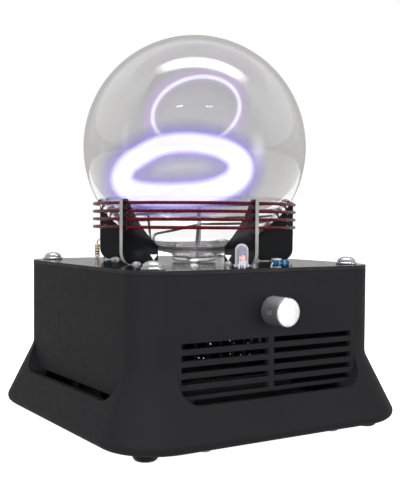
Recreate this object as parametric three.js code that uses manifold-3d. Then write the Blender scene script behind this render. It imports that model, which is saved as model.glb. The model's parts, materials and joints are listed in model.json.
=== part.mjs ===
// Plasma toroid lamp: a sealed glass globe that rests in a ring of five circuit-board fins, with a
// coil of insulated wire threaded round it, on a square ventilated case that holds the driver.
// Millimetres, +Z up. The origin is the middle of the footprint, level with the soles of the feet.
// The front, with the knob, faces -Y.
import * as THREE from "three";
import { mergeVertices } from "three/addons/utils/BufferGeometryUtils.js";
import Module from "manifold-3d";

// ---- driving dimensions ----------------------------------------------------------------------
const GAP = 0.3; // clearance left between neighbouring pieces
const FOOT_HEIGHT = 3.4;
const FOOT_RADIUS = 4.8;
const FOOT_AT = 52;

const SKIRT_BOTTOM = FOOT_HEIGHT;
const BASE_HALF = 66.2; // half the width over the flared skirt
const BASE_CORNER = 21.4;
const RIM_RADIUS = 3.3; // rounding of the skirt's lower edge
const SKIRT_HEIGHT = 27;
const CASE_HALF = 56;
const CASE_CORNER = 15;
const CASE_HEIGHT = 61.5; // from the skirt's lower edge to the open top
const WALL = 2.4;
const COVER_HALF = 61.2;
const COVER_THICK = 2.4;

const BOARD_THICK = 1.6;
const BOARD_BOTTOM = SKIRT_BOTTOM + CASE_HEIGHT + GAP;
const BOARD_TOP = BOARD_BOTTOM + BOARD_THICK;

const GLOBE_RADIUS = 47.5;
const GLOBE_WALL = 1.4;
const GLOBE_CENTRE = SKIRT_BOTTOM + 112.1;

const FIN_COUNT = 5;
const FIN_TURN = 0.8; // degrees by which the ring of fins sits off square
const FIN_INNER = 24.2;
const FIN_OUTER = 45.2;
const FIN_TOP = SKIRT_BOTTOM + 89.5;
const FIN_TABS = [
  { from: 25.4, to: 29.4 },
  { from: 35.4, to: 39.4 },
];
const TAB_DROP = 3.2; // how far a fin's tabs reach below its foot

const WIRE_RADIUS = 0.65;
const COIL_RADIUS = 42.9;
const COIL_TURNS = 4;
const COIL_PITCH = 3.2;
const COIL_BOTTOM = SKIRT_BOTTOM + 78.4;

const VENT_ROWS = 5;
const VENT_TOP = SKIRT_BOTTOM + 37.3;
const VENT_PITCH = 4.22;
const VENT_HEIGHT = 2.1;
const VENT_FROM = 1.25; // the two columns of slots run from here
const VENT_TO = 39.8; // to here, either side of the middle

const SCOOP_HALF = 42;
const SCOOP_BOTTOM = SKIRT_BOTTOM + 15.5;
const SCOOP_CORNER = 8;
const INTAKE_HALF = 35; // air intake along the foot of the wall, inside the scoop
const INTAKE_HEIGHT = 1.3;

const KNOB_Z = SKIRT_BOTTOM + 47.4;
const KNOB_RADIUS = 5.5;
const KNOB_FACE = -BASE_HALF; // y of the knob's front face

const SCREW_AT = 46; // corner screws of the board
const COVER_SCREWS = [
  [-30, -56.5],
  [30, -56.5],
  [-30, 56.5],
  [30, 56.5],
];
const JACK_X = 30;
const JACK_Z = SKIRT_BOTTOM + 42;

const FAN_HALF = 30;
const FAN_HEIGHT = 15;
const FAN_BOTTOM = SKIRT_BOTTOM + COVER_THICK + GAP;
const FAN_SCREW_AT = 25;

const SINK_TOP = SKIRT_BOTTOM + 44;
const SINK_WIDTH = 50;
const SINK_DEPTH = 42;
const STANDOFF_X = 20;
const STANDOFF_Y = 16;

const LED = { x: -11, y: -51.5 };

// ---- solids -----------------------------------------------------------------------------------
const wasm = await Module();
wasm.setup();

// A geometry as a manifold-3d solid: only its positions are kept, with shared vertices merged.
function solid(geometry) {
  const bare = geometry.clone();
  bare.deleteAttribute("normal");
  bare.deleteAttribute("uv");
  const merged = mergeVertices(bare, 1e-4);
  return new wasm.Manifold(
    new wasm.Mesh({
      numProp: 3,
      vertProperties: new Float32Array(merged.attributes.position.array),
      triVerts: new Uint32Array(merged.index.array),
    }),
  );
}

// A manifold-3d solid as a flat-shaded three.js geometry.
function geometryOf(made) {
  const mesh = made.getMesh();
  const indexed = new THREE.BufferGeometry();
  const places = [];
  for (let i = 0; i < mesh.vertProperties.length; i += mesh.numProp) {
    places.push(...mesh.vertProperties.slice(i, i + 3));
  }
  indexed.setAttribute("position", new THREE.Float32BufferAttribute(places, 3));
  indexed.setIndex(Array.from(mesh.triVerts));
  const flat = indexed.toNonIndexed();
  flat.computeVertexNormals();
  return flat;
}

const cut = (base, tools) => tools.reduce((left, tool) => left.subtract(tool), base);
const join = (parts) => parts.reduce((whole, part) => whole.add(part));

function box(width, depth, height, x, y, z) {
  return new THREE.BoxGeometry(width, depth, height).translate(x, y, z);
}

// An upright cylinder that stands on z.
function post(radius, height, x, y, z, sides = 16) {
  const geometry = new THREE.CylinderGeometry(radius, radius, height, sides);
  return geometry.rotateX(Math.PI / 2).translate(x, y, z + height / 2);
}

// A cylinder along Y, from y = from to y = to.
function bar(radius, from, to, x, z, sides = 24) {
  const geometry = new THREE.CylinderGeometry(radius, radius, to - from, sides);
  return geometry.translate(x, (from + to) / 2, z);
}

// A solid of revolution about Z. The profile of [radius, height] pairs runs upwards.
function turned(profile, sides = 24) {
  const points = profile.map(([radius, height]) => new THREE.Vector2(radius, height));
  return new THREE.LatheGeometry(points, sides).rotateX(Math.PI / 2);
}

// Points of a circular arc as [x, y] pairs. Angles are in degrees.
function arc(cx, cy, radius, from, to, steps) {
  return Array.from({ length: steps + 1 }, (_, i) => {
    const angle = THREE.MathUtils.degToRad(from + ((to - from) * i) / steps);
    return [cx + radius * Math.cos(angle), cy + radius * Math.sin(angle)];
  });
}

const shapeOf = (points) => new THREE.Shape(points.map(([x, y]) => new THREE.Vector2(x, y)));

function extruded(shape, depth, curveSegments = 6) {
  return new THREE.ExtrudeGeometry(shape, { depth, bevelEnabled: false, curveSegments });
}

// The outline of a square with rounded corners, anticlockwise, as [x, y] pairs.
function roundedSquare(half, corner, steps = 6) {
  const inner = half - corner;
  return [
    ...arc(inner, inner, corner, 0, 90, steps),
    ...arc(-inner, inner, corner, 90, 180, steps),
    ...arc(-inner, -inner, corner, 180, 270, steps),
    ...arc(inner, -inner, corner, 270, 360, steps),
  ];
}

// A closed solid through rounded squares, given from the bottom up as { half, corner, z }.
function loft(levels) {
  const rings = levels.map(({ half, corner, z }) =>
    roundedSquare(half, corner).map(([x, y]) => [x, y, z]),
  );
  const count = rings[0].length;
  const places = rings.flat(2);
  const faces = [];
  for (let level = 0; level + 1 < rings.length; level += 1) {
    for (let i = 0; i < count; i += 1) {
      const a = level * count + i;
      const b = level * count + ((i + 1) % count);
      faces.push(a, b, b + count, a, b + count, a + count);
    }
  }
  const bottom = places.length / 3;
  const top = bottom + 1;
  places.push(0, 0, levels[0].z, 0, 0, levels.at(-1).z);
  const last = (rings.length - 1) * count;
  for (let i = 0; i < count; i += 1) {
    const next = (i + 1) % count;
    faces.push(bottom, next, i, top, last + i, last + next);
  }
  const geometry = new THREE.BufferGeometry();
  geometry.setAttribute("position", new THREE.Float32BufferAttribute(places, 3));
  geometry.setIndex(faces);
  return geometry;
}

// A round wire along a smooth curve through the given points.
function wire(points, radius, steps, sides = 6) {
  const section = shapeOf(arc(0, 0, radius, 0, 360 - 360 / sides, sides - 1));
  const extrudePath = new THREE.CatmullRomCurve3(points);
  return new THREE.ExtrudeGeometry(section, { steps, extrudePath, bevelEnabled: false });
}

// A point at a bearing in degrees from the front (-Y), turning towards +X.
function around(bearing, radius, z) {
  const angle = THREE.MathUtils.degToRad(bearing - 90);
  return new THREE.Vector3(radius * Math.cos(angle), radius * Math.sin(angle), z);
}

// ---- materials --------------------------------------------------------------------------------
const material = (color, roughness, metalness = 0, more = {}) =>
  new THREE.MeshStandardMaterial({ color, roughness, metalness, ...more });

const casePlastic = material(0x2e2e30, 0.7);
const boardBlack = material(0x17181a, 0.3);
const clearGlass = material(0xeef0f2, 0.03, 0, { transparent: true, opacity: 0.25 });
const redWire = material(0x5a0f1c, 0.35);
const steel = material(0xc4c5c8, 0.25, 1);
const aluminium = material(0xd4d5d8, 0.3, 1);
const brass = material(0xb99a55, 0.3, 1);
const rubber = material(0x111111, 0.9);
const blackPlastic = material(0x1c1c1e, 0.5);
const clearResin = material(0xe8e6ee, 0.15, 0, { transparent: true, opacity: 0.6 });
const blueEnamel = material(0x1f6f9c, 0.3);
const beigeEnamel = material(0xc2a98c, 0.4);
const whitePlastic = material(0xe9e9e6, 0.5);
const padGrey = material(0x8d9094, 0.8);
const copper = material(0xa8572c, 0.3, 1);
const filmYellow = material(0xb5872c, 0.4);

const group = new THREE.Group();
group.name = "plasma_toroid_lamp";

function add(name, geometry, finish, place = [0, 0, 0]) {
  const mesh = new THREE.Mesh(geometry, finish);
  mesh.name = name;
  mesh.position.set(...place);
  group.add(mesh);
  return mesh;
}

// ---- case: square body and flared skirt in one moulding ------------------------------------------
const FLARE = (BASE_HALF - CASE_HALF) / (SKIRT_HEIGHT - RIM_RADIUS); // run outwards per mm downwards
const SKIN = 2.6; // wall of the flare, measured level

// Corner radius at a given half width of the flare.
function cornerAt(half) {
  const share = (half - CASE_HALF) / (BASE_HALF - CASE_HALF);
  return THREE.MathUtils.lerp(CASE_CORNER, BASE_CORNER, share);
}

function caseOutside() {
  const centre = BASE_HALF - RIM_RADIUS;
  const rim = arc(centre, SKIRT_BOTTOM + RIM_RADIUS, RIM_RADIUS, -90, 20, 4);
  const levels = rim.map(([half, z]) => ({ half, corner: cornerAt(half), z }));
  const fillet = [
    { half: CASE_HALF + 0.45, z: SKIRT_BOTTOM + SKIRT_HEIGHT - 1 },
    { half: CASE_HALF + 0.1, z: SKIRT_BOTTOM + SKIRT_HEIGHT + 0.4 },
    { half: CASE_HALF, z: SKIRT_BOTTOM + SKIRT_HEIGHT + 1.6 },
    { half: CASE_HALF, z: SKIRT_BOTTOM + CASE_HEIGHT },
  ];
  fillet.forEach(({ half, z }) => levels.push({ half, corner: cornerAt(half), z }));
  return solid(loft(levels));
}

function caseInside() {
  const mouth = COVER_HALF + GAP;
  const throat = CASE_HALF - WALL;
  const bend = (BASE_HALF - SKIN - mouth) / FLARE + RIM_RADIUS;
  const level = (half, z) => ({ half, corner: cornerAt(half) - WALL / 2, z });
  return solid(
    loft([
      level(mouth, SKIRT_BOTTOM - 1),
      level(mouth, SKIRT_BOTTOM + bend),
      level(throat, SKIRT_BOTTOM + SKIRT_HEIGHT),
      level(throat, SKIRT_BOTTOM + CASE_HEIGHT + 1),
    ]),
  );
}

// The window of a scoop, seen from the front, as a bar that runs from the wall out through the flare.
function scoopBar(grow, from) {
  const half = SCOOP_HALF + grow;
  const low = SCOOP_BOTTOM - grow;
  const high = SKIRT_BOTTOM + SKIRT_HEIGHT + 3;
  const corner = SCOOP_CORNER + grow;
  const outline = shapeOf([
    [half, high],
    [-half, high],
    ...arc(-half + corner, low + corner, corner, 180, 270, 5),
    ...arc(half - corner, low + corner, corner, 270, 360, 5),
  ]);
  const depth = BASE_HALF + 5 - from;
  return solid(extruded(outline, depth).rotateX(Math.PI / 2).translate(0, -from, 0));
}

const onFourSides = (made) => [0, 90, 180, 270].map((turn) => made.rotate([0, 0, turn]));

function caseShell() {
  const cavity = cut(caseInside(), onFourSides(scoopBar(WALL - 0.2, CASE_HALF - WALL)));
  const intakeTop = SCOOP_BOTTOM + INTAKE_HEIGHT;
  const intake = solid(box(2 * INTAKE_HALF, 5.7, INTAKE_HEIGHT + 3, 0, -CASE_HALF, intakeTop - INTAKE_HEIGHT / 2 - 1.5));
  const bosses = [];
  const holes = [];
  for (const x of [-SCREW_AT, SCREW_AT]) {
    for (const y of [-SCREW_AT, SCREW_AT]) {
      const bottom = SKIRT_BOTTOM + CASE_HEIGHT - 20;
      bosses.push(solid(post(6, 20, x, y, bottom, 20)));
      holes.push(solid(post(2 + GAP, 21, x, y, bottom - 0.5, 10)));
    }
  }
  for (const [x, y] of COVER_SCREWS) {
    const bottom = SKIRT_BOTTOM + COVER_THICK + GAP;
    bosses.push(solid(post(4.4, SCOOP_BOTTOM - 3.2 - bottom, x, y, bottom, 12)));
    holes.push(solid(post(1.5 + GAP, 10, x, y, bottom - 1, 8)));
  }
  for (let row = 0; row < VENT_ROWS; row += 1) {
    const z = VENT_TOP - row * VENT_PITCH - VENT_HEIGHT / 2;
    for (const side of [-1, 1]) {
      const x = (side * (VENT_FROM + VENT_TO)) / 2;
      holes.push(solid(box(VENT_TO - VENT_FROM, 6, VENT_HEIGHT, x, -CASE_HALF + 1, z)));
    }
  }
  holes.push(solid(bar(3 + GAP, -CASE_HALF - 1, -CASE_HALF + 4, 0, KNOB_Z, 16)));
  holes.push(solid(bar(5.5 + GAP, CASE_HALF - 4, CASE_HALF + 1, JACK_X, JACK_Z, 20)));
  const outside = cut(caseOutside(), onFourSides(scoopBar(0, CASE_HALF)));
  const hollow = cut(outside, [cavity, ...onFourSides(intake)]);
  return cut(join([hollow, ...bosses]), holes);
}

add("case_shell", geometryOf(caseShell()), casePlastic);

// ---- base cover, its screws and the feet ------------------------------------------------------
function baseCover() {
  const corner = cornerAt(COVER_HALF) - WALL / 2;
  const plate = solid(
    loft([
      { half: COVER_HALF, corner, z: SKIRT_BOTTOM },
      { half: COVER_HALF, corner, z: SKIRT_BOTTOM + COVER_THICK },
    ]),
  );
  const holes = COVER_SCREWS.map(([x, y]) => solid(post(1.5 + GAP, 6, x, y, SKIRT_BOTTOM - 1, 8)));
  for (const x of [-FAN_SCREW_AT, FAN_SCREW_AT]) {
    for (const y of [-FAN_SCREW_AT, FAN_SCREW_AT]) {
      holes.push(solid(post(1.5 + GAP, 6, x, y, SKIRT_BOTTOM - 1, 8)));
    }
  }
  const grille = 26;
  for (let x = -18; x <= 18; x += 6) {
    const length = 2 * Math.sqrt(grille ** 2 - x ** 2);
    holes.push(solid(box(3, length, 6, x, 0, SKIRT_BOTTOM + 1)));
  }
  return cut(plate, holes);
}

add("base_cover", geometryOf(baseCover()), casePlastic);

// A pan-head screw, head down, whose shank stands on z = 0.
function panScrew(headRadius, headHeight, shankRadius, length, sides = 12) {
  return turned(
    [
      [0, -headHeight],
      [headRadius * 0.7, -headHeight],
      [headRadius, -headHeight * 0.5],
      [headRadius, 0],
      [shankRadius, 0],
      [shankRadius, length],
      [0, length],
    ],
    sides,
  );
}

COVER_SCREWS.forEach(([x, y], i) => {
  add(`cover_screw_${i + 1}`, panScrew(2.8, 1.8, 1.5, 9), steel, [x, y, SKIRT_BOTTOM - GAP]);
});

const FOOT_PROFILE = [
  [0, 0],
  [FOOT_RADIUS * 0.62, 0],
  [FOOT_RADIUS * 0.86, 0.5],
  [FOOT_RADIUS * 0.97, 1.4],
  [FOOT_RADIUS, FOOT_HEIGHT - GAP],
  [0, FOOT_HEIGHT - GAP],
];

let footNumber = 0;
for (const y of [-FOOT_AT, FOOT_AT]) {
  for (const x of [-FOOT_AT, FOOT_AT]) {
    footNumber += 1;
    add(`rubber_foot_${footNumber}`, turned(FOOT_PROFILE, 20), rubber, [x, y, 0]);
  }
}

// ---- cooling fan on the base cover ----------------------------------------------------------------
const FAN_BORE = 28;
const HUB_RADIUS = 12;

function fanFrame() {
  const middle = FAN_BOTTOM + FAN_HEIGHT / 2;
  const square = solid(box(2 * FAN_HALF, 2 * FAN_HALF, FAN_HEIGHT, 0, 0, middle));
  const bore = solid(post(FAN_BORE, FAN_HEIGHT + 2, 0, 0, FAN_BOTTOM - 1, 28));
  const holes = [bore];
  for (const x of [-FAN_SCREW_AT, FAN_SCREW_AT]) {
    for (const y of [-FAN_SCREW_AT, FAN_SCREW_AT]) {
      holes.push(solid(post(1.5 + GAP, FAN_HEIGHT + 2, x, y, FAN_BOTTOM - 1, 8)));
    }
  }
  const struts = [0, 120, 240].map((turn) => {
    const strut = solid(box(FAN_BORE + 0.6, 3, 1.6, FAN_BORE / 2, 0, FAN_BOTTOM + 0.8));
    return strut.rotate([0, 0, turn]);
  });
  const motor = solid(post(HUB_RADIUS - 1, 2, 0, 0, FAN_BOTTOM, 20));
  const bearing = solid(post(3, 8, 0, 0, FAN_BOTTOM, 12));
  const whole = join([cut(square, holes), ...struts, motor, bearing]);
  return cut(whole, [solid(post(1 + GAP, 8, 0, 0, FAN_BOTTOM + 1.4, 10))]);
}

function fanRotor() {
  const bottom = FAN_BOTTOM + 2 + GAP;
  const height = FAN_HEIGHT - 3;
  const cup = solid(post(HUB_RADIUS, height, 0, 0, bottom, 24));
  const inside = solid(post(HUB_RADIUS - 1.2, height - 1.5, 0, 0, bottom - 0.1, 24));
  const spindle = solid(post(1, height - 2, 0, 0, bottom + 1.6, 10));
  const blade = solid(box(FAN_BORE - HUB_RADIUS - 0.6, 1.2, 11, (FAN_BORE + HUB_RADIUS) / 2 - 0.7, 0, 0));
  const blades = Array.from({ length: 7 }, (_, i) =>
    blade
      .rotate([38, 0, 0])
      .translate([0, 0, bottom + height / 2])
      .rotate([0, 0, (360 / 7) * i]),
  );
  return join([cut(cup, [inside]), spindle, ...blades]);
}

add("fan_frame", geometryOf(fanFrame()), blackPlastic);
add("fan_rotor", geometryOf(fanRotor()), blackPlastic);

let fanScrewNumber = 0;
for (const x of [-FAN_SCREW_AT, FAN_SCREW_AT]) {
  for (const y of [-FAN_SCREW_AT, FAN_SCREW_AT]) {
    fanScrewNumber += 1;
    const shank = COVER_THICK + FAN_HEIGHT - 2;
    add(`fan_screw_${fanScrewNumber}`, panScrew(2.8, 1.8, 1.5, shank), steel, [x, y, SKIRT_BOTTOM - GAP]);
  }
}

// ---- top board: the case's lid and the driver's circuit board in one ---------------------------
const finBearings = Array.from({ length: FIN_COUNT }, (_, i) => FIN_TURN + (360 / FIN_COUNT) * i);
const LEAD_HOLES = [
  { bearing: 177, radius: COIL_RADIUS },
  { bearing: 177.6, radius: COIL_RADIUS + 3 },
];
const RESISTOR = { x: 6.8, y: -52.2, bodyLength: 7, bodyRadius: 1.4, wireRadius: 0.35, reach: 4.4 };
const UPRIGHT = { x: -23.4, y: 47.6, bodyLength: 6.2, bodyRadius: 1.25, wireRadius: 0.35, span: 3.6 };

function topBoard() {
  const plate = solid(
    loft([
      { half: CASE_HALF, corner: CASE_CORNER, z: BOARD_BOTTOM },
      { half: CASE_HALF, corner: CASE_CORNER, z: BOARD_TOP },
    ]),
  );
  const through = (radius, x, y, sides) => solid(post(radius, 4, x, y, BOARD_BOTTOM - 1, sides));
  const holes = [];
  for (const x of [-SCREW_AT, SCREW_AT]) {
    for (const y of [-SCREW_AT, SCREW_AT]) holes.push(through(2 + GAP, x, y, 12));
  }
  for (const bearing of finBearings) {
    for (const { from, to } of FIN_TABS) {
      const slot = box(to - from + 2 * GAP, BOARD_THICK + 2 * GAP, 4, (from + to) / 2, 0, BOARD_TOP);
      holes.push(solid(slot).rotate([0, 0, bearing - 90]));
    }
  }
  for (const { bearing, radius } of LEAD_HOLES) {
    const at = around(bearing, radius, 0);
    holes.push(through(WIRE_RADIUS + GAP, at.x, at.y, 8));
  }
  for (const side of [-1, 1]) {
    holes.push(through(RESISTOR.wireRadius + GAP, RESISTOR.x + side * RESISTOR.reach, RESISTOR.y, 6));
    holes.push(through(UPRIGHT.wireRadius + GAP, UPRIGHT.x + (side + 1) * 0.5 * UPRIGHT.span, UPRIGHT.y, 6));
  }
  return cut(plate, holes);
}

add("top_board", geometryOf(topBoard()), boardBlack);

// Button-head screw with a hexagon socket, head up, whose washer face is z = 0.
function buttonScrew() {
  const head = turned(
    [
      [0, -16],
      [2, -16],
      [2, 0],
      [3.8, 0],
      [3.75, 0.5],
      [3.1, 1.4],
      [1.9, 2.1],
      [0, 2.2],
    ],
    14,
  );
  return geometryOf(solid(head).subtract(solid(post(1.45, 2, 0, 0, 0.9, 6))));
}

function washer(outer, inner, thick) {
  const ring = solid(post(outer, thick, 0, 0, 0, 14));
  return geometryOf(ring.subtract(solid(post(inner, thick + 1, 0, 0, -0.5, 8))));
}

let cornerNumber = 0;
for (const y of [-SCREW_AT, SCREW_AT]) {
  for (const x of [-SCREW_AT, SCREW_AT]) {
    cornerNumber += 1;
    const washerThick = 0.8;
    const washerBottom = BOARD_TOP + 0.1;
    const headBottom = washerBottom + washerThick + 0.1;
    add(`corner_washer_${cornerNumber}`, washer(4.4, 2 + GAP, washerThick), steel, [x, y, washerBottom]);
    add(`corner_screw_${cornerNumber}`, buttonScrew(), steel, [x, y, headBottom]);
  }
}

// ---- fins: five upright boards that cradle the globe and carry the coil ------------------------
function finOutline() {
  const foot = BOARD_TOP + GAP;
  const cradle = GLOBE_RADIUS + GAP;
  const angleAt = (radius) => THREE.MathUtils.radToDeg(Math.acos(radius / cradle));
  const topAngle = THREE.MathUtils.radToDeg(Math.asin((GLOBE_CENTRE - FIN_TOP) / cradle));
  const toeRadius = 5;
  const points = [[FIN_INNER, foot]];
  for (const { from, to } of FIN_TABS) {
    points.push([from, foot], [from, foot - TAB_DROP], [to, foot - TAB_DROP], [to, foot]);
  }
  points.push(...arc(FIN_OUTER - toeRadius, foot + toeRadius, toeRadius, -90, 0, 5));
  points.push([FIN_OUTER, FIN_TOP]);
  points.push(...arc(0, GLOBE_CENTRE, cradle, -topAngle, -angleAt(FIN_INNER), 8));
  return points;
}

function fin() {
  const shape = shapeOf(finOutline());
  for (let turn = 0; turn < COIL_TURNS; turn += 1) {
    const hole = new THREE.Path();
    hole.absarc(COIL_RADIUS, COIL_BOTTOM + turn * COIL_PITCH, WIRE_RADIUS + GAP, 0, 2 * Math.PI, true);
    shape.holes.push(hole);
  }
  return extruded(shape, BOARD_THICK, 4).rotateX(Math.PI / 2).translate(0, BOARD_THICK / 2, 0);
}

finBearings.forEach((bearing, i) => {
  add(`cradle_fin_${i + 1}`, fin(), boardBlack).rotation.z = THREE.MathUtils.degToRad(bearing - 90);
});

// ---- globe -------------------------------------------------------------------------------------
// A blown shell, flattened a little underneath, where a short closed neck reaches almost to the board.
// The seal-off hole in the neck's foot is left open, as it is before the glass is melted shut.
const NECK_RADIUS = 9.4;
const NECK_FOOT = -GLOBE_RADIUS - 0.8;
const FLAT_FROM = 24; // the shell leaves the sphere inside this radius
const FLAT_DEPTH = 1.3;

// Profile of the flattened underside of a skin of the given radius, from the neck's shoulder outwards.
function underside(skin) {
  return [12.5, 16, 20].map((radius) => {
    const lift = FLAT_DEPTH * (1 - THREE.MathUtils.smoothstep(radius, 10, FLAT_FROM));
    return [radius, lift - Math.sqrt(skin * skin - radius * radius)];
  });
}

function glassGlobe() {
  const rings = 12;
  const half = (skin) => {
    const start = THREE.MathUtils.radToDeg(Math.acos(FLAT_FROM / skin));
    return [...arc(0, 0, skin, -start, 90, rings).slice(0, -1), [0, skin]];
  };
  const outside = [
    [0, NECK_FOOT],
    [NECK_RADIUS - 0.7, NECK_FOOT],
    [NECK_RADIUS, NECK_FOOT + 0.6],
    [NECK_RADIUS, NECK_FOOT + 2.3],
    [NECK_RADIUS + 1, NECK_FOOT + 3.2],
    ...underside(GLOBE_RADIUS),
    ...half(GLOBE_RADIUS),
  ];
  const inside = [
    [0, NECK_FOOT + GLOBE_WALL],
    [NECK_RADIUS - GLOBE_WALL, NECK_FOOT + GLOBE_WALL],
    [NECK_RADIUS - GLOBE_WALL, NECK_FOOT + 3.4],
    [NECK_RADIUS + 0.2, NECK_FOOT + 4.6],
    ...underside(GLOBE_RADIUS - GLOBE_WALL),
    ...half(GLOBE_RADIUS - GLOBE_WALL),
  ];
  const shell = solid(turned(outside, 28)).subtract(solid(turned(inside, 28)));
  return shell.subtract(solid(post(0.6, 4, 0, 0, NECK_FOOT - 0.5, 8)));
}

add("glass_globe", geometryOf(glassGlobe()), clearGlass, [0, 0, GLOBE_CENTRE]);

// ---- coil --------------------------------------------------------------------------------------
// One wire in three nodes, parted inside the holes of the two back fins: the winding, and the two leads
// that run down through the board.
const BACK_FIN = 144 + FIN_TURN; // the winding starts and ends at the fins at this bearing either side
const CLIMB = 72; // degrees between those two fins, where the wire climbs to the next turn
const SWEEP = 360 - CLIMB;
const COIL_TOP = COIL_BOTTOM + (COIL_TURNS - 1) * COIL_PITCH;
const PARTING = 0.2; // degrees between a lead's end and the winding's

function winding() {
  const points = [];
  for (let turn = 0; turn < COIL_TURNS; turn += 1) {
    const level = COIL_BOTTOM + turn * COIL_PITCH;
    for (let along = 0; along <= SWEEP; along += 12) {
      points.push(around(BACK_FIN - along, COIL_RADIUS, level));
    }
    const climbs = turn + 1 < COIL_TURNS ? [12, 24, 36, 48, 60] : [];
    for (const along of climbs) {
      const rise = COIL_PITCH * THREE.MathUtils.smoothstep(along, 0, CLIMB);
      points.push(around(BACK_FIN - SWEEP - along, COIL_RADIUS, level + rise));
    }
  }
  return points;
}

// From the board up and slanting round to the lowest turn.
function lowLead() {
  const { bearing, radius } = LEAD_HOLES[0];
  return [
    around(bearing, radius, BOARD_BOTTOM - 2),
    around(bearing, radius, BOARD_TOP + 2),
    around(bearing, radius, COIL_BOTTOM - 9.5),
    around(bearing - 2, radius, COIL_BOTTOM - 6.3),
    around(bearing - 7, radius, COIL_BOTTOM - 5),
    around(bearing - 17, radius, COIL_BOTTOM - 3.2),
    around(BACK_FIN + 4, radius, COIL_BOTTOM - 0.9),
    around(BACK_FIN + PARTING, COIL_RADIUS, COIL_BOTTOM),
  ];
}

// From the end of the top turn outwards and straight down to the board.
function highLead() {
  const { bearing, radius } = LEAD_HOLES[1];
  return [
    around(BACK_FIN - SWEEP - PARTING + 360, COIL_RADIUS, COIL_TOP),
    around(bearing + 20, COIL_RADIUS + 1.2, COIL_TOP),
    around(bearing + 7, radius, COIL_TOP - 0.6),
    around(bearing + 1, radius, COIL_TOP - 4),
    around(bearing, radius, COIL_TOP - 10),
    around(bearing, radius, BOARD_TOP + 2),
    around(bearing, radius, BOARD_BOTTOM - 2),
  ];
}

add("coil_wire", wire(winding(), WIRE_RADIUS, 156), redWire);
add("coil_lead_1", wire(lowLead(), WIRE_RADIUS, 18), redWire);
add("coil_lead_2", wire(highLead(), WIRE_RADIUS, 20), redWire);

// ---- small parts on the board ----------------------------------------------------------------------
function ledBody() {
  const flange = 2.9;
  const lens = 2.5;
  const shoulder = 6.2;
  return turned(
    [
      [0, 0],
      [flange, 0],
      [flange, 1],
      [lens, 1],
      ...arc(0, shoulder, lens, 0, 90, 4).map(([radius, z]) => [Math.max(radius, 0), z]),
    ],
    16,
  );
}

add("indicator_led", ledBody(), clearResin, [LED.x, LED.y, BOARD_TOP + 0.5]);

// Axial resistor lying along X: a bulged body on a wire that bends down at both ends.
function lyingResistor() {
  const { bodyLength, bodyRadius, wireRadius, reach } = RESISTOR;
  const halfBody = bodyLength / 2;
  const height = bodyRadius + 0.15;
  const profile = [
    [0, -halfBody],
    [bodyRadius * 0.75, -halfBody],
    [bodyRadius, -halfBody + 0.6],
    [bodyRadius * 0.86, -halfBody + 2],
    [bodyRadius * 0.86, halfBody - 2],
    [bodyRadius, halfBody - 0.6],
    [bodyRadius * 0.75, halfBody],
    [0, halfBody],
  ];
  const body = solid(turned(profile, 12).rotateY(Math.PI / 2).translate(0, 0, height));
  const low = -BOARD_THICK - 1;
  const bent = [
    [-reach, low],
    [-reach, height - 1.2],
    [-reach + 0.6, height - 0.15],
    [-halfBody + 0.4, height],
    [halfBody - 0.4, height],
    [reach - 0.6, height - 0.15],
    [reach, height - 1.2],
    [reach, low],
  ].map(([x, z]) => new THREE.Vector3(x, 0, z));
  return geometryOf(body.add(solid(wire(bent, wireRadius, 18, 5))));
}

add("film_resistor", lyingResistor(), blueEnamel, [RESISTOR.x, RESISTOR.y, BOARD_TOP]);

// Axial resistor standing on end, with its upper wire looped over and down beside it.
function standingResistor() {
  const { bodyLength, bodyRadius, wireRadius, span } = UPRIGHT;
  const bottom = 0.5;
  const top = bottom + bodyLength;
  const profile = [
    [0, bottom],
    [bodyRadius, bottom + 0.4],
    [bodyRadius, top - 0.4],
    [0, top],
  ];
  const low = -BOARD_THICK - 1;
  const looped = [
    [0, low],
    [0, top - 1],
    [0.2, top + 1.1],
    [span / 2, top + 2.1],
    [span - 0.2, top + 1],
    [span, top - 1.5],
    [span, low],
  ].map(([x, z]) => new THREE.Vector3(x, 0, z));
  return geometryOf(solid(turned(profile, 12)).add(solid(wire(looped, wireRadius, 22, 5))));
}

add("standing_resistor", standingResistor(), beigeEnamel, [UPRIGHT.x, UPRIGHT.y, BOARD_TOP]);
add("white_header", box(3.4, 2.3, 2.6, 0, 0, 1.3), whitePlastic, [13.4, -41, BOARD_TOP + 0.1]);

// ---- control: potentiometer, shaft and knob ------------------------------------------------------
const KNOB_BACK = -CASE_HALF - GAP;
const RECESS = 2.7;
const GRUB_Y = KNOB_BACK - 5.6;

function controlKnob() {
  const depth = KNOB_BACK - KNOB_FACE;
  const profile = [
    [0, 0],
    [KNOB_RADIUS - 0.35, 0],
    [KNOB_RADIUS, 0.3],
    [KNOB_RADIUS, depth - 0.6],
    [KNOB_RADIUS - 0.6, depth],
    [0, depth],
  ];
  const body = solid(turned(profile, 24).rotateX(Math.PI / 2).translate(0, KNOB_BACK, KNOB_Z));
  const recess = solid(bar(4.85, KNOB_BACK - RECESS, KNOB_BACK + 1, 0, KNOB_Z, 16));
  const bore = solid(bar(2 + GAP, KNOB_FACE + 2.2, KNOB_BACK + 1, 0, KNOB_Z, 10));
  const tapped = box(6, 3.1, 3.1, -KNOB_RADIUS + 1, 0, 0).rotateX(Math.PI / 4);
  return cut(body, [recess, bore, solid(tapped.translate(0, GRUB_Y, KNOB_Z))]);
}

// Set screw in the knob's left flank.
function grubScrew() {
  const screw = new THREE.CylinderGeometry(1.2, 1.2, 2.2, 10).rotateZ(Math.PI / 2);
  return screw.translate(-KNOB_RADIUS + 1.9, GRUB_Y, KNOB_Z);
}

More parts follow.
